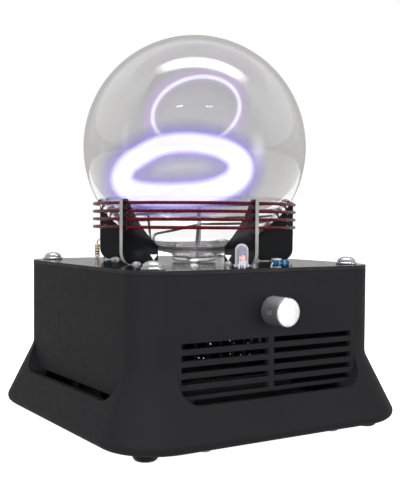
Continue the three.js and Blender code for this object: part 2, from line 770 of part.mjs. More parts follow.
function potentiometer() {
  const behind = -CASE_HALF + WALL + GAP;
  const can = solid(bar(8, behind, behind + 8.5, 0, KNOB_Z, 20));
  const bush = solid(bar(3, -CASE_HALF - 2.4, behind + 1, 0, KNOB_Z, 16));
  const lug = (x) => solid(box(1.2, 0.8, 7, x, behind + 5, KNOB_Z - 9.5));
  const bore = solid(bar(2 + GAP, -CASE_HALF - 3, behind + 4, 0, KNOB_Z, 16));
  return cut(join([can, bush, ...[-4, 0, 4].map(lug)]), [bore]);
}

function hexRing(flat, bore, from, to) {
  const hex = new THREE.CylinderGeometry(flat / Math.sqrt(3), flat / Math.sqrt(3), to - from, 6);
  const ring = solid(hex.translate(0, (from + to) / 2, 0));
  return ring.subtract(solid(bar(bore, from - 1, to + 1, 0, 0, 16)));
}

add("control_knob", geometryOf(controlKnob()), aluminium);
add("knob_grub_screw", grubScrew(), steel);
add("potentiometer", geometryOf(potentiometer()), blackPlastic);
add("pot_shaft", bar(2, KNOB_FACE + 3, -CASE_HALF + WALL + 3, 0, KNOB_Z, 16), steel);

function potWasher() {
  const ring = solid(bar(4.3, -CASE_HALF - 0.7, -CASE_HALF - 0.2, 0, KNOB_Z, 20));
  return ring.subtract(solid(bar(3 + GAP, -CASE_HALF - 2, -CASE_HALF + 1, 0, KNOB_Z, 16)));
}

add("pot_washer", geometryOf(potWasher()), steel);
add("pot_nut", geometryOf(hexRing(8, 3 + GAP, -CASE_HALF - 2.4, -CASE_HALF - 0.9)), steel, [0, 0, KNOB_Z]);

// ---- power inlet in the back wall -----------------------------------------------------------------
function powerInlet() {
  const flange = solid(bar(7, CASE_HALF + 0.2, CASE_HALF + 2, 0, 0, 24));
  const barrel = solid(bar(5.5, CASE_HALF - 14, CASE_HALF + 1, 0, 0, 20));
  const well = solid(bar(3.2, CASE_HALF - 8, CASE_HALF + 3, 0, 0, 16));
  const pin = solid(bar(1, CASE_HALF - 9, CASE_HALF + 0.5, 0, 0, 10));
  return cut(flange.add(barrel), [well]).add(pin);
}

add("power_inlet", geometryOf(powerInlet()), blackPlastic, [JACK_X, 0, JACK_Z]);
const nutFrom = CASE_HALF - WALL - GAP - 2.5;
const inletNut = hexRing(14, 5.5 + GAP, nutFrom, CASE_HALF - WALL - GAP);
add("inlet_nut", geometryOf(inletNut), steel, [JACK_X, 0, JACK_Z]);

// ---- driver parts that hang under the board --------------------------------------------------------
// Comb-shaped extrusion: a flat base with nine blades that hang into the fan's draught.
function heatSink() {
  const base = 4;
  const blade = 1.6;
  const drop = 20;
  const blades = 9;
  const pitch = (SINK_WIDTH - blade) / (blades - 1);
  const outline = [
    [SINK_WIDTH / 2, 0],
    [-SINK_WIDTH / 2, 0],
  ];
  for (let i = 0; i < blades; i += 1) {
    const left = -SINK_WIDTH / 2 + i * pitch;
    const up = i === 0 ? [] : [[left, -base]];
    const down = i === blades - 1 ? [] : [[left + blade, -base]];
    outline.push(...up, [left, -drop], [left + blade, -drop], ...down);
  }
  const body = extruded(shapeOf(outline), SINK_DEPTH).rotateX(Math.PI / 2);
  return body.translate(0, SINK_DEPTH / 2, SINK_TOP);
}

add("heat_sink", heatSink(), aluminium);

const STANDOFF_HEIGHT = BOARD_BOTTOM - SINK_TOP - 2 * GAP;
let standoffNumber = 0;
for (const x of [-STANDOFF_X, STANDOFF_X]) {
  for (const y of [-STANDOFF_Y, STANDOFF_Y]) {
    standoffNumber += 1;
    const pillar = post(3.1, STANDOFF_HEIGHT, 0, 0, 0, 6);
    add(`board_standoff_${standoffNumber}`, pillar, brass, [x, y, SINK_TOP + GAP]);
  }
}

const PAD_THICK = 0.5;
const TRANSISTOR_BOTTOM = SINK_TOP + PAD_THICK + 0.3;

function transistor() {
  const body = solid(box(15.8, 20, 5, 0, 0, 2.5));
  const hole = solid(post(1.5 + GAP, 7, 0, 6, -1, 12));
  const legs = [-5.4, 0, 5.4].map((x) => {
    const out = solid(box(1.2, 4.5, 0.8, x, -11.8, 2.6));
    const up = solid(box(1.2, 0.8, 12, x, -13.8, 8.4));
    return out.add(up);
  });
  return cut(join([body, ...legs]), [hole]);
}

add("thermal_pad", box(18, 22, PAD_THICK, 0, 0, SINK_TOP + 0.1 + PAD_THICK / 2), padGrey);
add("power_transistor", geometryOf(transistor()), blackPlastic, [0, 0, TRANSISTOR_BOTTOM]);
const transistorScrew = panScrew(2.8, 2, 1.5, 4.6).rotateX(Math.PI);
add("transistor_screw", transistorScrew, steel, [0, 6, TRANSISTOR_BOTTOM + 5.2]);

function hangingCylinder(radius, height) {
  return turned(
    [
      [0, -height],
      [radius - 0.6, -height],
      [radius, -height + 0.6],
      [radius, -1],
      [radius - 0.6, -0.6],
      [radius, 0],
      [0, 0],
    ],
    20,
  );
}

const HANG = BOARD_BOTTOM - GAP;
add("bulk_capacitor", hangingCylinder(6.3, 20), blackPlastic, [36, 30, HANG]);
add("power_choke", new THREE.TorusGeometry(7, 3.2, 8, 18), copper, [-37, 20, HANG - 3.3]);
add("tuning_capacitor_1", box(13, 5, 11, 0, 0, -5.5), filmYellow, [-36, -8, HANG]);
add("tuning_capacitor_2", box(13, 5, 11, 0, 0, -5.5), filmYellow, [-36, -18, HANG]);

export default group;
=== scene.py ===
"""Looks of the plasma toroid lamp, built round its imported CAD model.

Lengths here are millimetres in the CAD frame: +Z up, the origin between the soles of the feet, the
front with the knob towards -Y. put() turns them into Blender's metres.
"""
import json
import math

import bmesh
import bpy
from mathutils import Matrix, Vector


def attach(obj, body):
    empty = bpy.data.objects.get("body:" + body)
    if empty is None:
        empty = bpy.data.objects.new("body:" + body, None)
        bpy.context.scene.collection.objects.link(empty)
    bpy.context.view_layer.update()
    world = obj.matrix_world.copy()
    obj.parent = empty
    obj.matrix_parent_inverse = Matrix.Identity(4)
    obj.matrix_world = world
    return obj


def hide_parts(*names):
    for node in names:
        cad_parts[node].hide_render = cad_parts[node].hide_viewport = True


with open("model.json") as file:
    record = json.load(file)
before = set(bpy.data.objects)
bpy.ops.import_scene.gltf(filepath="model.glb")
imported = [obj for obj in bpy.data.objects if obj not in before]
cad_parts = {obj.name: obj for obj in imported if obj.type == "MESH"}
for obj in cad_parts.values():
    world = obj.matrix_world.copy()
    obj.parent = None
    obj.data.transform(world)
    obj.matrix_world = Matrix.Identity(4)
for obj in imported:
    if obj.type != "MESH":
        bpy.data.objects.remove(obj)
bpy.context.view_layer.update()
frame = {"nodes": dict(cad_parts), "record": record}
scene = bpy.context.scene
MM = 0.001
UP = Vector((0, 0, 1))

# ---- dimensions, as in the CAD ----
SKIRT_BOTTOM = 3.4
BASE_HALF = 66.2
BASE_CORNER = 21.4
RIM_RADIUS = 3.3
SKIRT_HEIGHT = 27.0
CASE_HALF = 56.0
CASE_CORNER = 15.0
CASE_HEIGHT = 61.5
WALL = 2.4  # of the body
SKIN = 2.6  # of the flared skirt
COVER_HALF = 61.2
BOARD_BOTTOM = SKIRT_BOTTOM + 61.8
BOARD_THICK = 1.6
BOARD_TOP = BOARD_BOTTOM + BOARD_THICK
GLOBE_RADIUS = 47.5
GLOBE_WALL = 1.4
GLOBE_CENTRE = SKIRT_BOTTOM + 112.1
NECK_RADIUS = 9.4
NECK_FOOT = -GLOBE_RADIUS - 0.8
FLAT_FROM = 24  # inside this radius the globe's underside is blown flatter
FLAT_DEPTH = 1.3
FIN_COUNT = 5
FIN_TURN = 0.8
FIN_INNER = 24.2
FIN_OUTER = 45.2
FIN_FOOT = BOARD_TOP + 0.3
FIN_TOP = SKIRT_BOTTOM + 89.5
FIN_TABS = ((25.4, 29.4), (35.4, 39.4))
WIRE_RADIUS = 0.65
COIL_RADIUS = 42.9
COIL_TURNS = 4
COIL_PITCH = 3.2
COIL_BOTTOM = SKIRT_BOTTOM + 78.4
COIL_TOP = COIL_BOTTOM + (COIL_TURNS - 1) * COIL_PITCH
BACK_FIN = 144 + FIN_TURN  # bearing where the level turns of the coil begin
CLIMB = 72  # degrees over which the wire rises to its next turn
LOW_LEAD = (177, COIL_RADIUS)  # bearing and radius of the wire's two ends
HIGH_LEAD = (177.6, COIL_RADIUS + 3)
SCREW_AT = 46
FOOT_AT = 52
KNOB_Z = SKIRT_BOTTOM + 47.4
KNOB_RADIUS = 5.5
KNOB_BACK = -56.3
KNOB_FACE = -BASE_HALF
JACK = (30, SKIRT_BOTTOM + 42)  # x and z in the back wall
LED = (-11, -51.5)
RESISTOR = (6.8, -52.2)
RESISTOR_REACH = 4.4
UPRIGHT = (-23.4, 47.6)
UPRIGHT_SPAN = 3.6
LEAD_RADIUS = 0.35
HEADER = (13.4, -41)


# ---- meshes ----
def bare(name, shape):
    """A new object from a shape, which is (verts, faces) in millimetres."""
    mesh = bpy.data.meshes.new(name)
    mesh.from_pydata([Vector(v) * MM for v in shape[0]], [], shape[1])
    made = bpy.data.objects.new(name, mesh)
    scene.collection.objects.link(made)
    return made


def piece(name, shape, materials, smooth=35):
    """A closed object from a shape, whose third member may give each face's material index."""
    made = bare(name, shape)
    for material in materials:
        made.data.materials.append(material)
    if len(shape) > 2:
        made.data.polygons.foreach_set("material_index", shape[2])
    finish_mesh(made, smooth)
    return made


def open_shell(name, shape, material):
    """A piece whose face directions are kept as built, for nested skins."""
    made = bare(name, shape)
    made.data.materials.append(material)
    made.data.polygons.foreach_set("use_smooth", [True] * len(made.data.polygons))
    return made


def finish_mesh(made, smooth):
    """Merges doubles, turns the faces outwards and shades smooth below the given angle."""
    work = bmesh.new()
    work.from_mesh(made.data)
    bmesh.ops.remove_doubles(work, verts=work.verts, dist=0.002 * MM)
    bmesh.ops.recalc_face_normals(work, faces=work.faces)
    work.to_mesh(made.data)
    work.free()
    made.data.polygons.foreach_set("use_smooth", [True] * len(made.data.polygons))
    made.data.set_sharp_from_angle(angle=math.radians(smooth))
    made.data.update()


def put(made, body, slot, *nodes):
    """Rides the piece on its body and hides the CAD nodes it stands for; its slot is not used."""
    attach(made, body)
    if nodes:
        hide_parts(*nodes)
    return made


def merged(shapes):
    verts, faces = [], []
    for more_verts, more_faces in shapes:
        faces += [[i + len(verts) for i in face] for face in more_faces]
        verts += more_verts
    return verts, faces


def moved(shape, matrix):
    return [tuple(matrix @ Vector(v)) for v in shape[0]], shape[1]


def raised(profile, lift):
    """A profile of (radius, height) pairs, lifted."""
    return [(radius, lift + height) for radius, height in profile]


def four_corners(reach):
    """Front left, front right, back left and back right."""
    return [(x, y) for y in (-reach, reach) for x in (-reach, reach)]


def at(x, y, z):
    return Matrix.Translation((x, y, z))


def turn(angle, axis="Z"):
    return Matrix.Rotation(math.radians(angle), 4, axis)


ALONG_Y = turn(90, "X")  # takes a shape built along +Z to -Y


def lathe(profile, sides=48):
    """A closed solid of revolution about Z from (radius, height) pairs, from axis to axis or looped."""
    verts, faces, rings = [], [], []
    for radius, height in profile:
        if radius < 1e-6:
            rings.append([len(verts)])
            verts.append((0, 0, height))
            continue
        rings.append(list(range(len(verts), len(verts) + sides)))
        for i in range(sides):
            angle = 2 * math.pi * i / sides
            verts.append((radius * math.cos(angle), radius * math.sin(angle), height))
    closed = len(rings[0]) > 1 and len(rings[-1]) > 1
    pairs = list(zip(rings, rings[1:])) + ([(rings[-1], rings[0])] if closed else [])
    for low, high in pairs:
        for i in range(sides):
            j = (i + 1) % sides
            if len(low) == 1:
                faces.append([low[0], high[i], high[j]])
            elif len(high) == 1:
                faces.append([low[i], low[j], high[0]])
            else:
                faces.append([low[i], low[j], high[j], high[i]])
    return verts, faces


def arc(cx, cy, radius, start, end, steps):
    angles = [math.radians(start + (end - start) * i / steps) for i in range(steps + 1)]
    return [(cx + radius * math.cos(angle), cy + radius * math.sin(angle)) for angle in angles]


def circle(x, y, radius, sides=20):
    return arc(x, y, radius, 0, 360 - 360 / sides, sides - 1)


def ball(latitude, steps):
    """A unit ball, coned beyond the given latitude."""
    return lathe([(0, -1), *arc(0, 0, 1, -latitude, latitude, steps), (0, 1)], 24)


def rounded_square(half, corner, steps=14):
    inner = half - corner
    points = []
    centres = ((inner, inner), (-inner, inner), (-inner, -inner), (inner, -inner))
    for quarter, (cx, cy) in enumerate(centres):
        points += arc(cx, cy, corner, 90 * quarter, 90 * quarter + 90, steps)
    return points


def loft(levels, steps=14):
    """A closed solid through rounded squares (half, corner, z), from the bottom up."""
    verts, faces = [], []
    count = 4 * (steps + 1)
    for half, corner, z in levels:
        verts += [(x, y, z) for x, y in rounded_square(half, corner, steps)]
    for level in range(len(levels) - 1):
        for i in range(count):
            a, b = level * count + i, level * count + (i + 1) % count
            faces.append([a, b, b + count, a + count])
    faces.append(list(range(count))[::-1])
    faces.append([(len(levels) - 1) * count + i for i in range(count)])
    return verts, faces


def prism(outline, low, high):
    """A straight prism over a simple outline of (x, y) pairs."""
    count = len(outline)
    verts = [(x, y, low) for x, y in outline] + [(x, y, high) for x, y in outline]
    faces = [[i, (i + 1) % count, (i + 1) % count + count, i + count] for i in range(count)]
    return verts, faces + [list(range(count))[::-1], list(range(count, 2 * count))]


def block(width, depth, height, x=0, y=0, z=0):
    w, d, h = width / 2, depth / 2, height / 2
    return moved(prism([(w, d), (-w, d), (-w, -d), (w, -d)], -h, h), at(x, y, z))


def post(radius, low, high, x=0, y=0, sides=32):
    return prism(circle(x, y, radius, sides), low, high)


def tube(points, radius, sides=12, closed=False):
    """A round wire along a dense line of points, with capped ends unless it is closed."""
    line = [Vector(p) for p in points]
    count = len(line)
    verts, faces = [], []
    normal = None
    for i, here in enumerate(line):
        before = line[i - 1] if closed or i else here
        after = line[(i + 1) % count] if closed or i + 1 < count else here
        along = (after - before).normalized()
        if normal is None:
            normal = along.orthogonal()
        normal = (normal - along * normal.dot(along)).normalized()
        side = along.cross(normal)
        size = radius[i] if isinstance(radius, list) else radius
        for k in range(sides):
            angle = 2 * math.pi * k / sides
            verts.append(tuple(here + size * (normal * math.cos(angle) + side * math.sin(angle))))
    for i in range(count if closed else count - 1):
        a, b = i * sides, (i + 1) % count * sides
        faces += [[a + k, a + (k + 1) % sides, b + (k + 1) % sides, b + k] for k in range(sides)]
    if not closed:
        faces += [list(range(sides))[::-1], [(count - 1) * sides + k for k in range(sides)]]
    return verts, faces


def smooth_line(points, steps=8):
    """A Catmull-Rom line through the points."""
    line = [Vector(p) for p in points]
    line = [2 * line[0] - line[1], *line, 2 * line[-1] - line[-2]]
    dense = []
    for a, b, c, d in zip(line, line[1:], line[2:], line[3:]):
        for i in range(steps):
            t = i / steps
            curve = 2 * b + (c - a) * t
            curve += (2 * a - 5 * b + 4 * c - d) * t * t
            curve += (3 * b - a - 3 * c + d) * t**3
            dense.append(0.5 * curve)
    return dense + [line[-2]]


def around(bearing, radius, z):
    """A point at a bearing in degrees from the front, turning towards +X."""
    angle = math.radians(bearing - 90)
    return Vector((radius * math.cos(angle), radius * math.sin(angle), z))


def pierced_plate(outline, holes, low, high, matrix=Matrix()):
    """A plate over an outline with holes: material 0 on its two faces, 1 round its edges."""
    work = bmesh.new()
    edges, loops = [], []
    for loop in [outline, *holes]:
        corners = [work.verts.new((x, y, low)) for x, y in loop]
        edges += [work.edges.new(pair) for pair in zip(corners, corners[1:] + corners[:1])]
        loops.append(corners)
    bmesh.ops.triangle_fill(work, edges=edges, use_beauty=True)
    work.verts.index_update()
    caps = [[v.index for v in face.verts] for face in work.faces]
    count = len(work.verts)
    verts = [tuple(v.co) for v in work.verts]
    verts += [(x, y, high) for x, y, _ in verts]
    faces = caps + [[i + count for i in face[::-1]] for face in caps]
    kinds = [0] * len(faces)
    for corners in loops:
        ring = [v.index for v in corners]
        for a, b in zip(ring, ring[1:] + ring[:1]):
            faces.append([a, b, b + count, a + count])
            kinds.append(1)
    work.free()
    return [tuple(matrix @ Vector(v)) for v in verts], faces, kinds


def carved(base, tools, operation="DIFFERENCE"):
    """The base shape less (or with) the tools, as a shape."""
    def temporary(shape):
        made = bare("work", shape)
        finish_mesh(made, 30)
        return made

    body = temporary(base)
    helpers = [temporary(tool) for tool in tools]
    for helper in helpers:
        step = body.modifiers.new("cut", "BOOLEAN")
        step.operation = operation
        step.solver = "MANIFOLD"
        step.object = helper
    state = bpy.context.evaluated_depsgraph_get()
    result = bpy.data.meshes.new_from_object(body.evaluated_get(state))
    verts = [tuple(v.co / MM) for v in result.vertices]
    faces = [list(face.vertices) for face in result.polygons]
    for made in [body, *helpers]:
        bpy.data.objects.remove(made)
    return verts, faces


def soften(made, width, segments=2, angle=40):
    """Rounds the sharp edges of a piece."""
    edge = made.modifiers.new("edge", "BEVEL")
    edge.width = width * MM
    edge.segments = segments
    edge.limit_method = "ANGLE"
    edge.angle_limit = math.radians(angle)
    edge.harden_normals = True
    return made


# ---- materials ----
def principled(name, colour, roughness, **more):
    material = bpy.data.materials.new(name)
    material.use_nodes = True
    shader = material.node_tree.nodes["Principled BSDF"]
    shader.inputs["Base Color"].default_value = (*colour, 1)
    shader.inputs["Roughness"].default_value = roughness
    for socket, value in more.items():
        shader.inputs[socket.replace("_", " ")].default_value = value
    return material


def join(owner, source, target):
    """Feeds an input from another node's socket, or sets its value."""
    if hasattr(source, "is_output"):
        owner.node_tree.links.new(source, target)
    else:
        target.default_value = source


def node(owner, kind, **values):
    """A new node in a material, lamp or world; each input is named with _ for a space."""
    made = owner.node_tree.nodes.new(kind)
    for socket, value in values.items():
        join(owner, value, made.inputs[socket.replace("_", " ")])
    return made


def maths(owner, operation, *values):
    made = node(owner, "ShaderNodeMath")
    made.operation = operation
    for target, value in zip(made.inputs, values):
        join(owner, value, target)
    return made.outputs[0]


def shader_of(material):
    return material.node_tree.nodes["Principled BSDF"]


def feed(material, socket, source):
    join(material, source, shader_of(material).inputs[socket])


def noise(material, scale, detail, stretch=(1, 1, 1)):
    """A smooth pattern over the object, finer as its scale grows."""
    where = node(material, "ShaderNodeTexCoord").outputs["Object"]
    where = node(material, "ShaderNodeMapping", Vector=where, Scale=stretch).outputs["Vector"]
    return node(material, "ShaderNodeTexNoise", Vector=where, Scale=scale, Detail=detail).outputs["Fac"]


def spread(owner, source, low, high, from_low=0.3, from_high=0.7):
    """Maps a pattern's value from its middle range to low..high."""
    ends = {"From_Min": from_low, "From_Max": from_high, "To_Min": low, "To_Max": high}
    return node(owner, "ShaderNodeMapRange", Value=source, **ends).outputs["Result"]


def between(material, factor, first, second):
    """Mixes two colours by a factor; the first may be another node's socket."""
    mix = node(material, "ShaderNodeMix")
    mix.data_type = "RGBA"
    join(material, factor, mix.inputs["Factor"])
    join(material, first if hasattr(first, "is_output") else (*first, 1), mix.inputs[6])
    mix.inputs[7].default_value = (*second, 1)
    return mix.outputs[2]


def mottled(material, pattern, first, second):
    """Two colours mixed by a pattern."""
    return between(material, spread(material, pattern, 0, 1), first, second)


def relief(material, pattern, distance):
    """Bump from a pattern; distance in millimetres."""
    bump = node(material, "ShaderNodeBump", Height=pattern, Distance=distance * MM, Strength=1.0)
    feed(material, "Normal", bump.outputs["Normal"])


def textured(name, colour, other, roughness, rough_other, grain, depth, **more):
    """A surface whose colour and roughness drift slowly and whose grain is fine."""
    material = principled(name, colour, roughness, **more)
    feed(material, "Base Color", mottled(material, noise(material, 90, 4), colour, other))
    feed(material, "Roughness", spread(material, noise(material, 260, 3), roughness, rough_other))
    relief(material, noise(material, grain, 2), depth)
    return material


CASE_BLACK = (0.0130, 0.0130, 0.0143)
CASE_WORN = (0.0137, 0.0137, 0.0150)
MASK_BLACK = (0.0050, 0.0055, 0.0065)
# the lighter mask tone is a painted sheen, laid over the board in random patches
MASK_PAINTED_SHEEN = (0.0075, 0.0080, 0.0090)
SINK_BLACK = (0.004, 0.004, 0.0045)
INK = (0.95, 0.95, 0.95)
FADED_INK = (0.9, 0.9, 0.9)
GLASS = (0.93, 0.93, 0.935)
WARM_GLASS = (0.945, 0.94, 0.935)
WIRE_DARK = (0.065, 0.0015, 0.006)
WIRE_RED = (0.12, 0.0025, 0.010)
RESIN = (0.66, 0.65, 0.72)
MILKY_RESIN = (0.6, 0.59, 0.68)
BLUE = (0.002, 0.075, 0.20)
PALE_BLUE = (0.08, 0.28, 0.38)
DEEP_BLUE = (0.001, 0.02, 0.07)
BEIGE = (0.8, 0.72, 0.6)
BROWN = (0.2, 0.05, 0.02)
BLACK = (0.02, 0.02, 0.02)
ORANGE = (0.35, 0.12, 0.02)
GOLD = (0.3, 0.2, 0.05)
TURNING_MARKS = 9000

case_plastic = textured(
    "case_plastic", CASE_BLACK, CASE_WORN, 0.54, 0.62, 3800, 0.03, Specular_IOR_Level=0.16
)
# solder mask: black, with a painted sheen in random lighter patches
solder_mask = textured("solder_mask", MASK_BLACK, MASK_PAINTED_SHEEN, 0.13, 0.2, 900, 0.004)
board_edge = textured("board_edge", (0.34, 0.34, 0.33), (0.24, 0.24, 0.22), 0.55, 0.7, 2600, 0.03)
dark_edge = textured("dark_edge", (0.0125, 0.0125, 0.0138), CASE_WORN, 0.5, 0.7, 2600, 0.03)
steel = textured("steel", (0.8, 0.8, 0.81), (0.68, 0.69, 0.7), 0.22, 0.34, 1500, 0.01, Metallic=0.88)
solder = textured("solder", (0.85, 0.85, 0.82), (0.6, 0.6, 0.58), 0.22, 0.4, 600, 0.08, Metallic=0.8)
rubber = textured("rubber", (0.003, 0.003, 0.003), (0.005, 0.005, 0.005), 0.24, 0.42, 2400, 0.02)
black_plastic = textured("black_plastic", (0.012, 0.012, 0.013), (0.02, 0.02, 0.021), 0.3, 0.45, 2600, 0.02)
beige_enamel = textured("beige_enamel", (0.5, 0.36, 0.25), (0.42, 0.3, 0.2), 0.3, 0.4, 1500, 0.03)
white_plastic = textured("white_plastic", (0.74, 0.74, 0.72), (0.66, 0.66, 0.64), 0.4, 0.5, 2000, 0.02)
# the ink is made to glow faintly white: painted light that keeps the printed marks bright where the fin
# face is in shade
white_ink_painted_glow = textured("white_ink_painted_glow", INK, FADED_INK, 0.5, 0.6, 3000, 0.01, Emission_Strength=0.3)
brass = textured("brass", (0.6, 0.45, 0.2), (0.5, 0.36, 0.15), 0.2, 0.3, 1500, 0.01, Metallic=1)
thermal_pad = textured("thermal_pad", (0.28, 0.29, 0.31), (0.22, 0.23, 0.25), 0.7, 0.8, 1800, 0.03)
copper = textured("copper_winding", (0.4, 0.13, 0.05), (0.3, 0.09, 0.035), 0.2, 0.35, 1500, 0.02)
film_yellow = textured("film_capacitor", (0.46, 0.23, 0.045), (0.4, 0.19, 0.035), 0.3, 0.4, 1500, 0.02)
led_legs = textured("led_cup_metal", (0.75, 0.74, 0.74), (0.62, 0.6, 0.6), 0.2, 0.3, 3000, 0.01, Metallic=1)
led_well = textured("led_well", (0.17, 0.15, 0.24), (0.13, 0.12, 0.2), 0.4, 0.5, 900, 0.02)


def anodised():
    """Black anodised extrusion with a few bright specks of bare metal where the saw went through; the
    specks also glow as painted glints.
    """
    material = principled("sink_anodised", SINK_BLACK, 0.5, Specular_IOR_Level=0.15, Emission_Strength=1.0)
    burrs_and_painted_glints = spread(material, noise(material, 520, 1), 0, 1, 0.69, 0.71)
    feed(material, "Base Color", between(material, burrs_and_painted_glints, SINK_BLACK, (0.85, 0.85, 0.86)))
    # the specks' glow is painted light: glints, not a lamp
    feed(material, "Emission Color", between(material, burrs_and_painted_glints, (0, 0, 0), (0.5, 0.5, 0.52)))
    feed(material, "Roughness", spread(material, noise(material, 900, 2), 0.35, 0.5))
    return material


def glass():
    """Clear blown glass with a trace of draw lines."""
    material = principled("globe_glass", GLASS, 0.0, Transmission_Weight=1.0, IOR=1.46)
    relief(material, noise(material, 14, 2, (1, 1, 0.35)), 0.12)
    feed(material, "Base Color", mottled(material, noise(material, 9, 2), GLASS, WARM_GLASS))
    return material


def red_wire():
    """Translucent red insulation over stranded wire, whose strands show as a fine twist."""
    material = principled("coil_wire", (0.09, 0.002, 0.007), 0.2, Specular_IOR_Level=0.3)
    along = node(material, "ShaderNodeUVMap").outputs["UV"]
    twist = node(material, "ShaderNodeTexWave", Vector=along, Scale=1.0, Distortion=0.0)
    twist.bands_direction = "DIAGONAL"
    strands = twist.outputs["Fac"]
    shade = spread(material, strands, 0, 1, 0.1, 0.9)
    feed(material, "Base Color", between(material, shade, WIRE_DARK, WIRE_RED))
    relief(material, strands, 0.16)
    feed(material, "Roughness", spread(material, noise(material, 400, 3), 0.14, 0.26))
    return material


def turned_metal(name, colour, roughness, metallic):
    """Metal with fine turning marks round the knob's axis."""
    material = principled(name, colour, roughness, Metallic=metallic)
    where = node(material, "ShaderNodeTexCoord").outputs["Object"]
    centre = (0, 0, -KNOB_Z * MM)
    where = node(material, "ShaderNodeMapping", Vector=where, Location=centre, Scale=(1, 0, 1))
    reach = node(material, "ShaderNodeVectorMath", Vector=where.outputs["Vector"])
    reach.operation = "LENGTH"
    marks = node(material, "ShaderNodeTexNoise", Scale=TURNING_MARKS, Detail=2.0)
    marks.noise_dimensions = "1D"
    join(material, reach.outputs["Value"], marks.inputs["W"])
    rings = marks.outputs["Fac"]
    feed(material, "Roughness", spread(material, rings, roughness, roughness + 0.12))
    relief(material, rings, 0.012)
    darker = tuple(0.9 * c for c in colour)
    feed(material, "Base Color", mottled(material, noise(material, 300, 3), colour, darker))
    return material


def banded_enamel(name, body, bands, centre, axis):
    """Enamel with painted bands (offset, half width, colour) across an axis, in millimetres."""
    material = principled(name, body, 0.22, Coat_Weight=0.4, Coat_Roughness=0.1)
    where = node(material, "ShaderNodeTexCoord").outputs["Object"]
    along = node(material, "ShaderNodeSeparateXYZ", Vector=where).outputs[axis]
    colour = mottled(material, noise(material, 500, 3), body, tuple(0.75 * c for c in body))
    for offset, half, paint in bands:
        band = maths(material, "COMPARE", along, (centre + offset) * MM, half * MM)
        colour = between(material, band, colour, paint)
    feed(material, "Base Color", colour)
    relief(material, noise(material, 1400, 2), 0.03)
    return material


def lit(name, colour, strength):
    """A steady glow, faintly mottled: light of the discharge and the LED, and the painted glow of the LED's
    reflector.
    """
    material = principled(name, (0, 0, 0), 0.5, Emission_Strength=strength)
    dimmer = tuple(0.92 * c for c in colour)
    feed(material, "Emission Color", mottled(material, noise(material, 220, 2), colour, dimmer))
    return material


def haze(name, colour, cover):
    """Glowing gas: one thin see-through layer that covers the given share of what is behind it."""
    material = bpy.data.materials.new(name)
    material.use_nodes = True
    material.node_tree.nodes.remove(shader_of(material))
    dimmer = tuple(0.85 * c for c in colour)
    light = mottled(material, noise(material, 60, 2), colour, dimmer)
    glow = node(material, "ShaderNodeEmission", Color=light, Strength=1.0)
    clear = node(material, "ShaderNodeBsdfTransparent")
    mix = node(material, "ShaderNodeMixShader", Fac=cover)
    join(material, clear.outputs[0], mix.inputs[1])
    join(material, glow.outputs[0], mix.inputs[2])
    join(material, mix.outputs[0], material.node_tree.nodes["Material Output"].inputs["Surface"])
    return material


def lens_resin_with_painted_glow():
    """Clear cast resin: see-through face on, milky towards its outline, with a faint lavender glow painted
    in.
    """
    material = principled("led_resin", RESIN, 0.12, Specular_IOR_Level=0.6, Emission_Strength=0.1)
    # painted light: a faint lavender glow in the resin
    shader_of(material).inputs["Emission Color"].default_value = (0.8, 0.78, 1.0, 1)
    outline = node(material, "ShaderNodeLayerWeight", Blend=0.35).outputs["Facing"]
    feed(material, "Alpha", spread(material, outline, 0.22, 0.97, 0.15, 0.6))
    feed(material, "Base Color", mottled(material, noise(material, 600, 2), RESIN, MILKY_RESIN))
    return material


globe_glass = glass()
led_resin = lens_resin_with_painted_glow()
coil_red = red_wire()
knob_face = turned_metal("knob_face", (0.93, 0.93, 0.94), 0.2, 1.0)
knob_side = turned_metal("knob_side", (0.76, 0.76, 0.78), 0.38, 0.94)
BLUE_BANDS = (
    (-2.6, 0.3, DEEP_BLUE),
    (-1.3, 0.28, PALE_BLUE),
    (0, 0.3, DEEP_BLUE),
    (1.3, 0.28, PALE_BLUE),
    (2.6, 0.3, DEEP_BLUE),
)
BEIGE_BANDS = ((-1.6, 0.3, BROWN), (-0.5, 0.3, BLACK), (0.7, 0.3, ORANGE), (1.9, 0.3, GOLD))
blue_enamel = banded_enamel("blue_enamel", BLUE, BLUE_BANDS, RESISTOR[0], "X")


# ---- case ----
FLARE = (BASE_HALF - CASE_HALF) / (SKIRT_HEIGHT - RIM_RADIUS)
BEND = SKIRT_BOTTOM + SKIRT_HEIGHT  # the flare meets the upright body here
BEND_REACH = 1.6
CASE_TOP = BOARD_BOTTOM - 0.06
SCOOP_HALF = 42
SCOOP_BOTTOM = SKIRT_BOTTOM + 15.5
SCOOP_CORNER = 8
INTAKE_HALF = 35
INTAKE_HEIGHT = 1.3
VENT_ROWS = 5
VENT_TOP = SKIRT_BOTTOM + 37.3
VENT_PITCH = 4.22
VENT_HEIGHT = 2.1
VENT_FROM = 1.25
VENT_TO = 39.8
BUSH_HOLE = 3.3
JACK_HOLE = 5.8
BOSS_RADIUS = 6
BOSS_HEIGHT = 20


def corner_at(half):
    share = (half - CASE_HALF) / (BASE_HALF - CASE_HALF)
    return CASE_CORNER + (BASE_CORNER - CASE_CORNER) * share


def scoop_bar(grow, start):
    """The window of a scoop as a bar that runs from y = start out through the flare."""
    half, low, corner = SCOOP_HALF + grow, SCOOP_BOTTOM - grow, SCOOP_CORNER + grow
    high = BEND + 3
    outline = [(half, high), (-half, high)]
    outline += arc(-half + corner, low + corner, corner, 180, 270, 14)
    outline += arc(half - corner, low + corner, corner, 270, 360, 14)
    return moved(prism(outline, 0, BASE_HALF + 5 - start), at(0, -start, 0) @ ALONG_Y)


def on_four_sides(shape):
    return [moved(shape, turn(angle)) for angle in (0, 90, 180, 270)]


def vents():
    width = VENT_TO - VENT_FROM
    middle = (VENT_FROM + VENT_TO) / 2
    holes = []
    for row in range(VENT_ROWS):
        z = VENT_TOP - row * VENT_PITCH - VENT_HEIGHT / 2
        holes += [block(width, 6, VENT_HEIGHT, side * middle, 1 - CASE_HALF, z) for side in (-1, 1)]
    return holes


